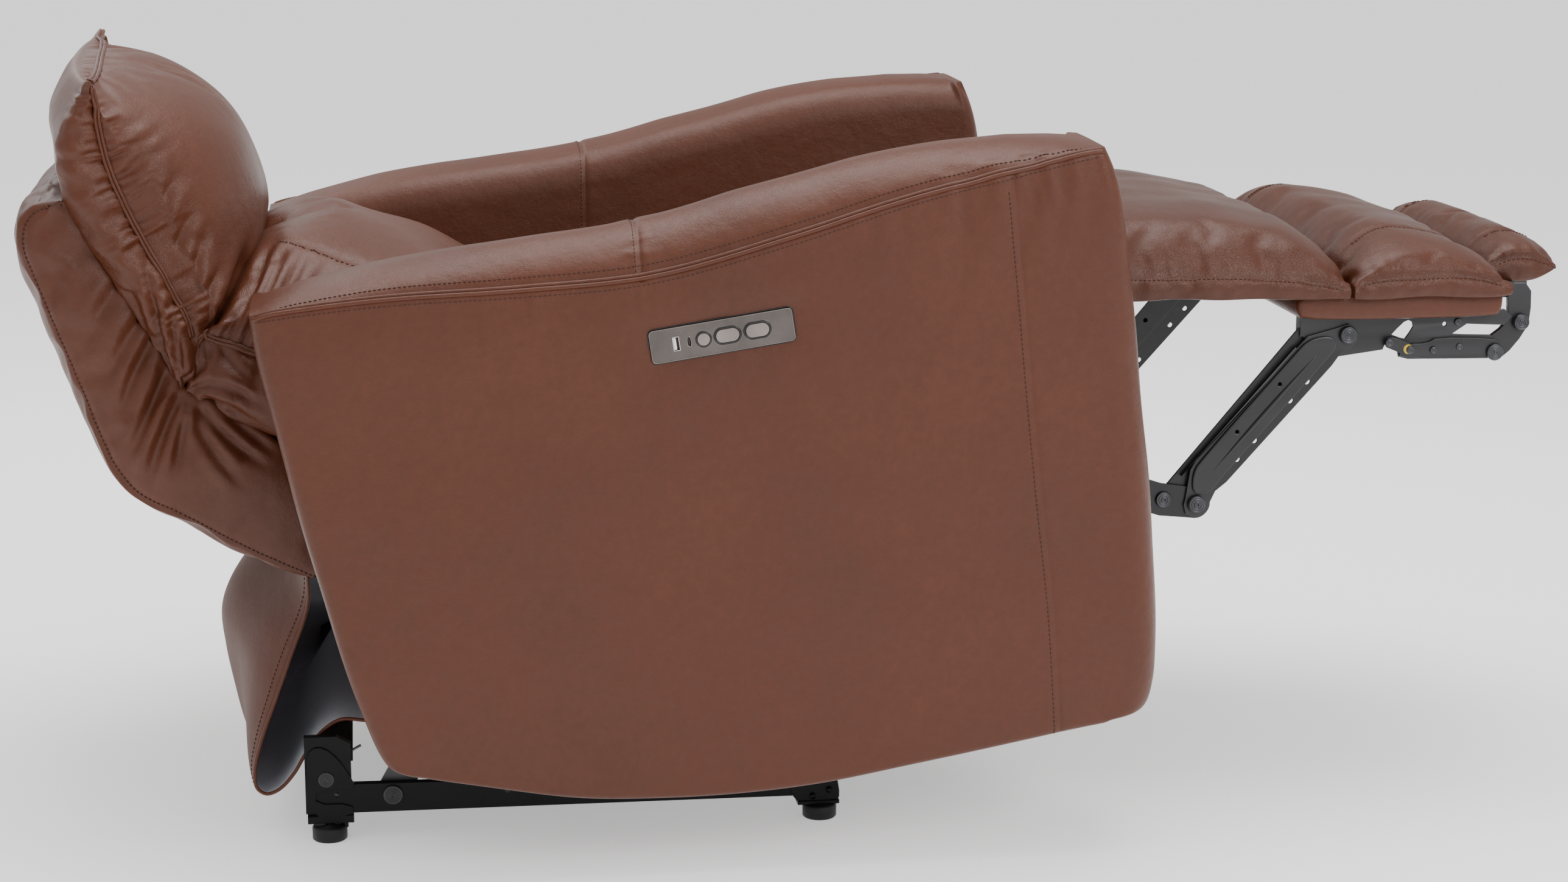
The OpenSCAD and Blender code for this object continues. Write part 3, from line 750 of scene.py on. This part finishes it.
for side, name in SIDES:
    obj, topline = arm(side, name)
    p = coords(obj)
    outer = np.abs(p[:, 2]) > 395
    inner = np.abs(p[:, 2]) < 300
    above = p[:, 1] > height_of(ARM_TOP, p[:, 0]) - 4
    front = smooth(-140, 180, p[:, 0])
    d, _ = along(p, line_at(FRONT_SEAM, side * 412, 80))
    amount = -1.6 * bell(d, 2.2) * outer
    d, s = along(p, np.array([(u, v, side * 409) for u, v in topline]))
    amount += outer * (0.9 * front + 0.25) * ripples(s, 17, 3) * bell(d - 14, 26)
    amount += outer * front * 1.3 * ripples(s + 0.35 * d, 41, 5) * bell(d - 30, 42)
    amount += 0.8 * wobble(p, 210, 4)
    cross = np.abs(p[:, 0] + 203)
    amount += -2.0 * bell(cross, 1.9) * (above | inner)
    amount += 0.5 * ripples(p[:, 2] + p[:, 1], 15, 9) * bell(cross - 8, 12) * (above | inner)
    push(obj, amount)
    finer(obj)
    keep(obj, "seat", "leather", "arm_top_" + name, "arm_outer_" + name)
    tree = surface(obj)
    edge = even(np.array([(u, v + 1.5, side * 410) for u, v in topline]), 240)
    keep(join("arm_piping_" + name, [welt(tree, edge, hide, radius=2.3, gap=2.0)]), "seat", "leather")
    over = [(594, 404), (612, 398), (640, 350), (636, 310), (600, 276), (540, 273), (470, 273)]
    rows = [stitches(tree, edge[3:-3] + [0, up, side * (x - 410)]) for up, x in ((-8.5, 413), (9.5, 404))]
    rows.append(stitches(tree, line_at([(u - 6, v) for u, v in FRONT_SEAM], side * 413, 80)[3:]))
    rows.append(stitches(tree, path([(-207.5, v, side * x) for v, x in over], 60)))
    keep(join("arm_stitches_" + name, rows), "seat", "leather")

# ---- Pads: folds, gathers and seams on the swollen meshes ----

PILLOW_PIPE = pairs(-729, 764, -727, 750, -723, 727, -709, 686, -686, 643, -663, 602, -645, 566,
                    -632, 538, -626, 516)
BACK_PIPE = pairs(-627, 518, -617, 519, -605, 514, -588, 508, -568, 500, -545, 495, -500, 492)
SHELL_EDGE = pairs(-742, 647, -756, 645, -768, 641, -777, 628, -780, 610, -772, 580, -762, 551,
                   -750, 518, -738, 485, -716, 421, -699, 385, -681, 363, -639, 339, -582, 306, -516, 273)
CALF_SEAM = pairs(226, 552, 246, 555, 275, 556, 320, 555, 361, 554, 400, 553, 448, 551, 500, 545, 526, 540)
FOOT2_SEAM = pairs(550, 544, 566, 547, 600, 549, 645, 550, 675, 546, 695, 541)
FOOT3_SEAM = pairs(718, 546, 730, 551, 745, 554, 765, 553, 778, 549, 786, 546)
NECK = ("back", "head", place(-624, 413, 0).tolist(), place(-692, 471, 0).tolist())
KNEE = ("seat", "leg_rest", place(228, 569, 0).tolist(), place(322, 569, 0).tolist())
# Each leg pad: its mesh, side seam, half width, first seed, the place of its inner seams, name and body
LEG_PADS = ((calf, CALF_SEAM, PAD_HALF, 41, 0, "chaise", KNEE),
            (foot2, FOOT2_SEAM, PAD_HALF, 42, 178, "ottoman", "leg_rest"),
            (foot3, FOOT3_SEAM, 175, 43, 118, "flip", "foot_flap"))

for obj in (pillow, back_pad, seat_pad, calf, foot2, foot3, shell):
    finer(obj, 2 if obj is pillow else 1)

def back_curve(k):
    """The curved seam on the back cushion's face."""
    line = ((-545, 600, 150), (-500, 604, 185), (-440, 582, 200), (-370, 550, 206), (-300, 515, 208))
    return path([(u, v, k * x) for u, v, x in line], 60)

p = coords(pillow)
far_out = np.abs(p[:, 2])
amount = 1.2 * wobble(p, 130, 31)
for k in (-1, 1):
    d, at = along(p, leaned(line_at(PILLOW_PIPE, k * PAD_HALF)))
    g = 0.9 * ripples(at + 0.1 * d, 6.5, 20) * bell(d - 7, 12) * (0.5 + 0.5 * np.sin(at / 31) ** 2)
    g *= 1 - 0.75 * smooth(150, 230, at)
    g += 1.3 * ripples(at, 12, 21) * bell(d - 6, 24) + 1.6 * ripples(at + 0.3 * d, 29, 22) * bell(d - 18, 34)
    amount += np.where(p[:, 2] * k > 0, g - 2.0 * bell(d, 4.5), 0)
amount += smooth(225, 255, far_out) * (far_out > 240) * folds(
    p, (9, 6.0, -640, 464, -650, 500, -660, 560, -668, 610), (8, 6.0, -637, 466, -640, 505, -646, 560),
    (7, 5.0, -634, 470, -633, 500, -636, 530), (10, 4.0, -645, 480, -668, 530, -690, 590))
amount += smooth(60, 170, far_out) * (far_out < 255) * folds(
    p, (11, 6.5, -622, 500, -600, 535, -578, 575, -566, 612), (9, 5.0, -626, 510, -612, 548, -594, 590),
    (10, 4.5, -630, 530, -625, 570, -608, 615), (11, 3.5, -648, 575, -634, 612, -614, 645),
    (12, 3.0, -668, 612, -648, 650, -625, 680), (8, 5.0, -610, 492, -586, 520, -570, 552))
push(pillow, amount)

p = coords(back_pad)
far_out = np.abs(p[:, 2])
amount = 1.4 * wobble(p, 120, 33)
amount += smooth(90, 180, far_out) * (p[:, 1] > 498) * folds(
    p, (8, 6.0, -590, 512, -566, 556, -548, 590, -532, 606), (8, 5.0, -578, 508, -552, 560, -530, 596),
    (9, 4.5, -560, 506, -532, 560, -506, 596), (9, 3.5, -545, 504, -512, 552, -486, 584),
    (6, 4.0, -600, 512, -580, 540, -566, 566))
amount += (far_out > 240) * folds(
    p, (9, 5.0, -632, 464, -610, 470, -580, 462, -550, 440), (6, 4.0, -628, 474, -612, 496, -604, 510),
    (7, 4.0, -622, 460, -590, 446, -560, 428), (9, 3.0, -600, 505, -580, 482, -560, 462))
tree = surface(back_pad)
for k in (-1, 1):
    d, at = along(p, line_at(BACK_PIPE, k * 260))
    amount += (p[:, 2] * k > 0) * (1.2 * ripples(at, 12, 23) * bell(d - 6, 24) - 1.8 * bell(d, 4.5))
    d, at = along(p, lay(tree, back_curve(k))[0])
    amount += -2.2 * bell(d, 4.0) + 0.5 * ripples(at, 18, 24) * bell(d - 9, 14)
push(back_pad, amount)

p = coords(seat_pad)
amount = 1.5 * wobble(p, 150, 35)
for k in (-1, 1):
    d, at = along(p, line_at([(-246, 492), *SEAT_SIDE[1:]], k * 260))
    amount += (p[:, 2] * k > 0) * (1.0 * ripples(at, 13, 25) * bell(d - 8, 30) - 1.5 * bell(d, 4))
amount += -2.5 * bell(np.abs(np.abs(p[:, 2]) - 196), 4.5) * (p[:, 1] > 470)
push(seat_pad, amount)

for obj, seam, half, seed, across, *_ in LEG_PADS:
    p = coords(obj)
    amount = 1.2 * wobble(p, 110, seed)
    for k in (-1, 1):
        line = line_at(seam, k * half, 80)
        d, at = along(p, line)
        up = smooth(-2, 4, p[:, 1] - height_of(line[:, :2], p[:, 0]))
        gathers = 0.7 * ripples(at, 9, seed) * bell(d - 6, 13)
        gathers += 0.55 * ripples(at, 27, seed + 9) * bell(d - 14, 26)
        amount += (p[:, 2] * k > 0) * (up * gathers - 2.6 * bell(d, 3.0))
    if across:
        mark = np.abs(np.abs(p[:, 2]) - across)
        puckers = 0.5 * ripples(p[:, 0], 17, seed + 5) * bell(mark - 9, 12)
        amount += (puckers - 2.4 * bell(mark, 4.2)) * (p[:, 1] > 540)
    for end, _ in (seam[0], seam[-1]):
        amount += 0.45 * ripples(p[:, 2], 14, seed + 3) * bell(p[:, 0] - end, 16) * (p[:, 1] > 548)
    push(obj, amount)

p = coords(shell)
far_out = np.abs(p[:, 2])
amount = 1.3 * wobble(p, 170, 51)
amount += smooth(225, 250, far_out) * folds(
    p, (12, 4.0, -668, 542, -690, 510, -712, 472), (11, 5.5, -660, 522, -682, 480, -700, 430),
    (11, 6.5, -648, 490, -668, 445, -690, 400, -700, 380),
    (11, 7.5, -637, 462, -655, 425, -668, 388, -672, 360), (9, 5.5, -630, 458, -640, 420, -645, 380),
    (9, 5.5, -624, 454, -606, 428, -580, 404, -552, 384),
    (10, 5.0, -628, 456, -618, 424, -600, 392, -576, 362), (8, 4.0, -596, 440, -570, 416, -545, 396),
    (14, 3.0, -690, 575, -714, 535, -728, 500))
for k in (-1, 1):
    d, _ = along(p, line_at(SHELL_EDGE, k * PAD_HALF))
    amount += (p[:, 2] * k > 0) * -1.8 * bell(d, 3.8)
push(shell, amount)

tree = surface(pillow)
line = [(-731, 769, -262), (-728, 768, -200), (-727, 768, 0), (-728, 768, 200), (-731, 769, 262)]
top = leaned(path(line, 130))
piping = [leaned(line_at(PILLOW_PIPE, k * PAD_HALF, 120)) for k in (-1, 1)]
keep(join("headrest_piping", [welt(tree, line, hide_pad) for line in (*piping, top)]), "head", "pad_leather")
tree = surface(back_pad)
piping = [welt(tree, line_at(BACK_PIPE, k * 260, 80), hide_pad) for k in (-1, 1)]
keep(join("back_piping", piping), "back", "pad_leather")
rows = [stitches(tree, back_curve(k) + [0, 0, k * 4.5]) for k in (-1, 1)]
keep(join("back_stitches", rows), "back", "pad_leather")
tree = surface(seat_pad)
line = pairs(-240, 520, -120, 550, 0, 572, 110, 592, 190, 604)
rows = [stitches(tree, line_at(line, k * 201, 80)) for k in (-1, 1)]
keep(join("seat_stitches", rows), "seat", "pad_leather")
for obj, seam, half, _, across, name, body in LEG_PADS:
    tree = surface(obj)
    rows = []
    for k in (-1, 1):
        rows.append(stitches(tree, line_at(seam, k * half, 80) + [0, -3.0, 0]))
        if across:
            rows.append(stitches(tree, line_at([(u, v + 45) for u, v in seam], k * (across + 4))))
    keep(join(name + "_stitches", rows), body, "pad_leather")
tree = surface(shell)
rows = [stitches(tree, line_at(SHELL_EDGE, k * PAD_HALF, 160), lift=0.3) for k in (-1, 1)]
keep(join("back_skin_stitches", rows), NECK, "leather")

for obj, fill, body, slot, *nodes in ((pillow, 0.7, "head", "pad_leather", "headrest_pillow"),
                                      (back_pad, 0.7, "back", "pad_leather", "back_cushion"),
                                      (seat_pad, 0.75, "seat", "pad_leather", "seat_cushion", "seat_nose"),
                                      (calf, 0.75, KNEE, "pad_leather", "calf_pad"),
                                      (foot2, 0.75, "leg_rest", "pad_leather", "ottoman_pad"),
                                      (foot3, 0.75, "foot_flap", "pad_leather", "flip_pad"),
                                      (shell, 0.5, NECK, "leather", "back_shell", "head_shell", "back_roll")):
    keep(obj, body, slot, *nodes)

# ---- The flap behind the seat: leather outside, grey lining inside ----

FLAP_MID = pairs(-540, 287, -562, 266, -588, 238, -608, 211, -617, 186, -614, 150, -606, 110, -596, 72,
                 -586, 52, -570, 43, -552, 54, -531, 84, -510, 109, -490, 118, -470, 119)
FLAP_NEAR = pairs(-523, 272, -523, 243, -542, 187, -558, 143, -574, 99, -581, 68, -579, 51, -570, 45,
                  -558, 49, -542, 66, -532, 83, -513, 109, -495, 120, -470, 118)
FLAP_FAR = pairs(-523, 272, -513, 240, -506, 200, -503, 160, -504, 130, -508, 104, -512, 84, -514, 72,
                 -510, 66, -504, 72, -500, 86, -495, 102, -487, 113, -470, 117)
FLAP_WIDTH = 486
FLAP_BEND = ("seat", "back", place(-620, 185, 0).tolist(), place(-600, 300, 0).tolist())
FLAP_THICK = 2.2

def flap(n=110, m=81):
    """The flap's middle surface in n rows and m columns, with its normals."""
    mid, near, far = (path(c, n)[:, None] for c in (FLAP_MID, FLAP_NEAR, FLAP_FAR))
    s = np.linspace(-1, 1, m)[None, :, None]
    grid = mid + (np.where(s < 0, near, far) - mid) * s**2
    flat = np.concatenate([grid, np.broadcast_to(s * FLAP_WIDTH / 2, (n, m, 1))], 2)
    flat[..., 0] += 2.5 * np.sin(s[..., 0] * 9) * np.sin(np.linspace(0, math.pi, n))[:, None]
    return flat, unit(np.cross(np.gradient(flat, axis=0), np.gradient(flat, axis=1)))

def two_sided(grid, normals):
    """A thin closed sheet round a middle surface."""
    n, m = grid.shape[:2]
    first = np.arange(n * m).reshape(n, m)
    second = first + n * m
    quads = []
    for layer in (first, second):
        quads.append(np.stack([layer[:-1, :-1], layer[:-1, 1:], layer[1:, 1:], layer[1:, :-1]], -1))
    for line, other in ((first[:, 0], second[:, 0]), (first[:, -1], second[:, -1]),
                        (first[0], second[0]), (first[-1], second[-1])):
        quads.append(np.stack([line[:-1], line[1:], other[1:], other[:-1]], -1))
    faces = [face for quad in quads for face in quad.reshape(-1, 4).tolist()]
    shift = normals * FLAP_THICK / 2
    return solid("rear_flap_sheet", np.vstack([(grid + shift).reshape(-1, 3), (grid - shift).reshape(-1, 3)]),
                 faces, hide_dull)

flap_grid, flap_normal = flap()
flap_obj = two_sided(flap_grid, flap_normal)
flap_obj.data.materials.append(lining)
inward = 1 if flap_normal[36, 40, 0] > 0 else -1
kd = KDTree(flap_grid[..., 0].size)
for i, q in enumerate(flap_grid.reshape(-1, 3)):
    kd.insert(q, i)
kd.balance()
for face in flap_obj.data.polygons:
    c, facing = face.center * 1000, face.normal
    _, i, _ = kd.find((-c.y, c.z, c.x))
    towards = Vector((-facing.y, facing.z, facing.x)).dot(flap_normal.reshape(-1, 3)[i]) * inward
    face.material_index = 1 if towards > 0.5 else 0
keep(flap_obj, FLAP_BEND, "leather", "rear_flap")
tree = surface(flap_obj)
keep(join("flap_hem", [sweep(flap_grid[:, j], 1.9, hide) for j in (0, -1)]), FLAP_BEND, "leather")
rows = [stitches(tree, flap_grid[:, j] - flap_normal[:, j] * 3 * inward) for j in (2, -3)]
keep(join("flap_stitches", rows), FLAP_BEND, "leather")

# ---- Leg rest board, links and brackets ----

def box(u0, v0, u1, v1):
    return pairs(u0, v0, u1, v0, u1, v1, u0, v1)

def rivets(k, *rows, mat=None):
    """Rivets on one side; each row is forward, up, two places across and a radius."""
    return [rivet(u, v, k * x0, k * x1, radius, mat) for u, v, x0, x1, radius in rows]

board = plate(pairs(488, 516, 493, 508, 694, 508, 699, 512, 699, 527.4, 500, 527.4, 489, 524),
              -250, 250, hide, bevel=5, rounded=2)
board.data.shade_smooth()
keep(join("ottoman_board_cover", [board]), "leg_rest", "leather", "ottoman_board")

LONG_LINK = pairs(530, 492, 500.7, 484.5, 488, 471, 437, 412, 386, 357.6, 380.5, 348, 378.5, 334.5,
                  376, 318, 374.5, 311, 376.6, 302, 386, 297.5, 396.3, 302, 407, 325, 418.9, 334.5,
                  527, 454, 537, 468, 547, 472.5, 553.5, 481, 552, 490, 544.5, 496.5)
LINK_HOLES = [(501.8, 437.4, 3.4), (484.4, 418, 3.4), (447.6, 376.9, 3.4), (429.8, 357.6, 3.4),
              (471.8, 436.3, 3.2), (427.9, 387.5, 3.2)]
LINK_FACE = pairs(517, 484, 501, 480, 490, 469, 390, 356, 384, 345, 383, 328, 390, 322, 402, 326,
                  412, 340, 432, 363, 520, 461, 530, 473, 528, 482)
LINK_FLANGE = pairs(386, 359, 384, 356.6, 488, 474, 490, 472)
INNER_LINK = pairs(357, 331, 345, 327, 340, 316, 345, 306, 355, 303, 366, 308, 520, 480, 523, 490,
                   517, 501, 505, 503, 498, 498)
BRACKET = pairs(494, 507.7, 494, 486, 503, 481, 524, 470, 535, 463, 582, 469, 585, 476, 588, 482,
                598, 470, 600, 461, 610, 458.5, 696, 457, 708, 464, 706, 474, 698, 481, 668, 482,
                655, 483, 672, 494, 690, 493, 712, 492, 720, 500, 712, 507.7, 676, 505, 668, 502,
                642, 502, 634, 507.7)
BRACKET_HOLE = pairs(590.5, 484, 597, 491, 604, 497.5, 609, 499.5, 613.5, 497, 614.5, 492, 611, 486,
                     606, 479, 601, 480)
BRACKET_RIB = pairs(600, 460, 697, 457.5, 708, 462, 709, 471, 700, 478, 640, 480, 628, 474, 610, 474,
                    601, 468)
FLIP_BAR = pairs(583, 473, 590, 470, 606, 463.5, 613, 464.5, 615, 471, 608, 475.5, 592, 482, 584, 481)
FLIP_PLATE = pairs(704, 456, 716, 458, 736, 482, 742, 500, 741, 534, 717, 534, 719, 503, 716, 490,
                   694, 474, 694, 458)
for k, name in SIDES:
    ridge = path([(404, 347, k * 237.6), (460, 410, k * 238), (512, 468, k * 237.6)], 20)
    parts = [plate(LONG_LINK, k * 232.5, k * 235.3, steel, LINK_HOLES),
             plate(LINK_FACE, k * 234.6, k * 238.2, steel, LINK_HOLES[4:], bevel=1.4, rounded=2),
             sweep(ridge, np.sin(np.linspace(0.25, 2.9, 20)) * 2.6, steel, sides=12),
             plate(LINK_FLANGE, k * 226, k * 235, steel, bevel=0.3)]
    keep(join("long_link_plate_" + name, parts), "long_links", "frame_steel", "long_link_" + name)
    parts = [plate(INNER_LINK, k * 224.6, k * 228.2, steel, [(400, 368, 3), (452, 426, 3)])]
    keep(join("inner_link_plate_" + name, parts), "inner_links", "frame_steel", "inner_link_" + name)
    parts = [plate(BRACKET, k * 229, k * 232, steel, [BRACKET_HOLE, (648, 494, 2.4)]),
             plate(BRACKET_RIB, k * 232.2, k * 235, steel, rounded=1),
             plate(FLIP_BAR, k * 235.4, k * 237.8, steel, rounded=1),
             plate(box(494, 507.7, 500, 484), k * 216, k * 230, steel, bevel=0.6)]
    keep(join("bracket_plate_" + name, parts), "leg_rest", "frame_steel", "ottoman_bracket_" + name)
    parts = rivets(k, (543, 486, 236, 241.5, 9.2), (702, 464, 234.6, 239.5, 9),
                   (609.8, 468.9, 237.4, 240.6, 4.4), (587, 477, 237.4, 240.6, 4.4),
                   (635.7, 467.5, 234.6, 237.6, 3.9), (663.8, 470.3, 234.6, 236.6, 3.6),
                   (662, 496, 231.6, 235, 3.9), (509, 491, 229, 224, 8))
    keep(join("bracket_rivets_" + name, parts), "leg_rest", "frame_steel")
    parts = [turned((607.6, 469.6), k * 236.8, k * 238.2, pairs(0.1, 0, 5.0, 0, 5.0, 1, 0.1, 1), yellow)]
    keep(join("bracket_bush_" + name, parts), "leg_rest", "carriage_plastic")
    parts = rivets(k, (387, 312, 236, 241.5, 9.2), (353, 317, 229, 224, 8), (353, 317, 231.8, 236, 8.6))
    keep(join("lower_link_rivets_" + name, parts), "lower_links", "frame_steel")
    parts = [turned((387, 312), k * 231.8, k * 233, pairs(4, 0, 12.2, 0, 12.2, 1, 4, 1), yellow)]
    keep(join("lower_link_bush_" + name, parts), "lower_links", "carriage_plastic")
    parts = [plate(FLIP_PLATE, k * 221, k * 228, steel, [(731, 494, 3)], bevel=0.8, rounded=1)]
    keep(join("flip_plate_skin_" + name, parts), "foot_flap", "frame_steel", "flip_plate_" + name)
    keep(join("flip_rivets_" + name, rivets(k, (731, 494, 228, 236, 8.6))), "foot_flap", "frame_steel")

strips = [plate(box(712, 520.2, u, 527.2), -half, half, steel, bevel=1.5)
          for u, half in ((740, 224), (760, 168))]
keep(join("flip_board_cover", strips), "foot_flap", "frame_steel", "flip_board")

# ---- Base: feet, stamped foot brackets, pivots and a wire ----

FOOT = pairs(0, 0.5, 0.1, 16, 1.5, 17.5, 13, 17.5, 15, 16, 15.2, 5, 27.8, 5)
feet = [sweep([(u, v, k * 257) for v, _ in FOOT], [r for _, r in FOOT], foot_black, sides=32)
        for k, _ in SIDES for u in (-509, -10)]
keep(join("glide_feet", feet), "base", "foot_plastic", "foot_glides")
REAR_FOOT_BRACKET = pairs(-530, 25, -530, 84, -525, 97, -512, 97, -498, 84, -484, 60, -484, 54,
                          -521, 54, -523, 38, -486, 37, -485, 25)
FRONT_FOOT_BRACKET = pairs(-41, 46, -41, 32, -36, 21, -29, 17.5, 7, 17.5, 10, 24, 7, 43, 4, 51)
# The foot brackets take the darker base steel, which is painted shade.
for k, name in SIDES:
    parts = [plate(REAR_FOOT_BRACKET, k * 261.8, k * 264, base_steel_painted_shade, rounded=1),
             plate(FRONT_FOOT_BRACKET, k * 261.8, k * 264, base_steel_painted_shade, rounded=1),
             plate(box(-33, 15.6, 9, 18.4), k * 248, k * 266, base_steel_painted_shade),
             plate(box(-530, 18.4, -485, 25), k * 252, k * 264, base_steel_painted_shade),
             sweep([(-494, 26, k * 259), (-494, 12.5, k * 259)], 4.2, base_steel_painted_shade, sides=6)]
    for u, v in ((-18, 24), (-1, 30)):
        parts.append(sweep([(u, v, k * 262), (u, v, k * 266)], 3.6, base_steel_painted_shade, sides=6))
    keep(join("foot_brackets_" + name, parts), "base", "frame_steel")
    pins = rivets(k, (-445, 45, 261.8, 265.4, 10), (-38, 45, 261.8, 265.4, 8), (-511, 64, 263.8, 265.6, 8),
                  mat=steel)
    keep(join("base_rivets_" + name, pins), "base", "frame_steel")
    # Thin near-black discs on the rail stand for its holes: painted shade where the holes are.
    dark = [turned(at, k * 261.9, k * 262.15, [(2.8, 0), (2.8, 1)], painted_shade_black)
            for at in ((-501, 47), (-330, 44), (-200, 42))]
    keep(join("rail_hole_painted_shade_" + name, dark), "base", "frame_steel")
    wire = path([(-521, 78, k * 240), (-516, 76, k * 240), (-505, 71, k * 240), (-496, 76.5, k * 240),
                 (-486, 84, k * 236), (-476, 88, k * 230)], 30)
    keep(join("base_wire_" + name, [sweep(wire, 1.4, spring_steel)]), "base", "spring_wire")

# ---- Control plate trim: places along the plate are shares of its length ----

PLATE_LENGTH = 137
USB_AT, SMALL_PORT_AT = -0.32 * PLATE_LENGTH, -0.23 * PLATE_LENGTH

def on_panel(points, at, out):
    """Points given as [along, up] on the control panel, moved along by at and outwards by out."""
    along_panel, up = np.array(points, float).T
    a, c, s = along_panel + at, math.cos(PANEL_TILT), math.sin(PANEL_TILT)
    return np.stack(np.broadcast_arrays(PANEL_U + a * c - up * s, PANEL_V + a * s + up * c, -414.5 - out), 1)

def ring(points, at, out, radius, mat):
    return sweep(on_panel(points, at, out), radius, mat, closed=True)

def oval(long, high):
    half = (long - high) / 2
    return [(a + math.copysign(half, a), b) for a, b in circle(64, high / 2)]

def soft_box(long, high, r):
    """A box outline with round corners."""
    points = []
    for a, b, start in ((1, 1, 0), (-1, 1, 90), (-1, -1, 180), (1, -1, 270)):
        for t in np.radians(start + np.linspace(0, 90, 13)):
            points.append((a * (long / 2 - r) + r * math.cos(t), b * (high / 2 - r) + r * math.sin(t)))
    return points

# The second ring is a near-black cord sunk round the plate: painted shade in the gap between plate and
# leather.
for name, size, at, out, radius, mat, slot in (
        ("plate_edge", (136.4, 30.9, 3.8), 0, 0.05, 0.4, button_metal, "button_metal"),
        ("plate_gap_painted_shade", (138.4, 32.9, 4.6), 0, -2.6, 0.9, painted_shade_black, "button_metal"),
        ("usb_rim", (5.9, 12.9, 0.5), USB_AT, 0.05, 0.32, bright, "port_metal")):
    keep(join(name, [ring(soft_box(*size), at, out, radius, mat)]), "seat", slot)
rings, trims = [], []
# The near-black rings round each button are painted shade in the gap round it; the thin metal trims are real.
for share, long, high in ((-0.13, 13.4, 13.4), (0.037, 24.6, 14.6), (0.246, 24.6, 14.6)):
    at = share * PLATE_LENGTH
    rings.append(ring(oval(long, high), at, 0.1, 1.15, painted_shade_black))
    trims.append(ring(oval(long + 2.9, high + 2.9), at, 0.05, 0.22, button_metal))
trims.append(ring([(2.0 * a, 4.9 * b) for a, b in circle(32)], SMALL_PORT_AT, 0.05, 0.35, button_metal))
keep(join("button_rings", rings), "seat", "button_metal")
keep(join("panel_trim", trims), "seat", "port_metal")
tongue = join("usb_tongue", [plate(box(-3.2, -5.4, -1.0, 5.4), 0, 8, pale_plastic, bevel=0.3)])
p = coords(tongue)
set_coords(tongue, on_panel(p[:, :2], USB_AT + 0.9, -p[:, 2] - 1.0))
keep(tongue, "seat", "port_metal")

# ---- CAD nodes that stay, with their finishes ----

# The base and rear post nodes take the darker base steel, which is painted shade.
PLAIN = {"arm_core": plywood, "seat_board": dust_cloth, "head_board": plywood, "rear_rail": dust_cloth,
         "seat_springs": spring_steel, "foot_glides": foot_black, "drive_carriage": carriage_grey,
         "control_plate": gunmetal, "usb_ports": rivet_steel, "home_button": button_metal,
         "recline_rocker": button_metal, "headrest_rocker": button_metal, "base_": base_steel_painted_shade,
         "rear_post": base_steel_painted_shade, "ottoman_board": hide, "rear_flap": hide}
for name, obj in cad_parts.items():
    finish = next((m for start, m in PLAIN.items() if name.startswith(start)), steel)
    if not obj.data.materials:
        obj.data.materials.append(finish)
    for i in range(len(obj.data.materials)):
        obj.data.materials[i] = finish

# ---- Floor, light and camera ----

look = Look("floor")
look.feed(look.bsdf, Base_Color=(0.9, 0.9, 0.9, 1), Roughness=0.8, Emission_Color=(1, 1, 1, 1),
          Emission_Strength=0.5)
FAR = 40000
corners = [(FAR, 0, -FAR), (FAR, 0, FAR), (-FAR, 0, FAR), (-FAR, 0, -FAR)]
floor = solid("floor", corners, [[0, 1, 2, 3]], look.mat, shade=False)

world = bpy.data.worlds.new("world")
scene.world = world
world.use_nodes = True
sky, wires = world.node_tree.nodes, world.node_tree.links
direction = sky.new("ShaderNodeTexCoord")
split = sky.new("ShaderNodeSeparateXYZ")
wires.new(direction.outputs["Generated"], split.inputs["Vector"])
greys = sky.new("ShaderNodeValToRGB")
for e, (at, grey) in zip(greys.color_ramp.elements, ((0.1, 1.0), (0.85, 0.58))):
    e.position = at
    e.color = (grey, grey, grey, 1)
wires.new(split.outputs["X"], greys.inputs["Fac"])
wires.new(greys.outputs["Color"], sky["Background"].inputs["Color"])
sky["Background"].inputs["Strength"].default_value = 1.0

def area(name, where, target, size, power):
    data = bpy.data.lights.new(name, "AREA")
    data.shape = "RECTANGLE"
    data.size, data.size_y = size
    data.energy = power
    lamp = linked(name, data)
    lamp.location = where
    lamp.rotation_euler = (Vector(target) - Vector(where)).to_track_quat("-Z", "Y").to_euler()

area("top", (0.2, -0.1, 2.9), (0, 0, 0.5), (2.6, 1.8), 82)
area("key", (-2.6, -1.6, 2.0), (0, -0.1, 0.5), (1.4, 1.2), 45)
area("rim", (1.9, 1.5, 2.0), (0, 0, 0.6), (1.4, 1.4), 14)

cam_data = bpy.data.cameras.new("camera")
cam = linked("camera", cam_data)
cam.location = (-3.1537, 0.4567, 1.0152)
cam.rotation_euler = Vector((0.9687, -0.1371, -0.2071)).to_track_quat("-Z", "Y").to_euler()
cam_data.lens = 68.48
cam_data.sensor_width = 36
scene.camera = cam
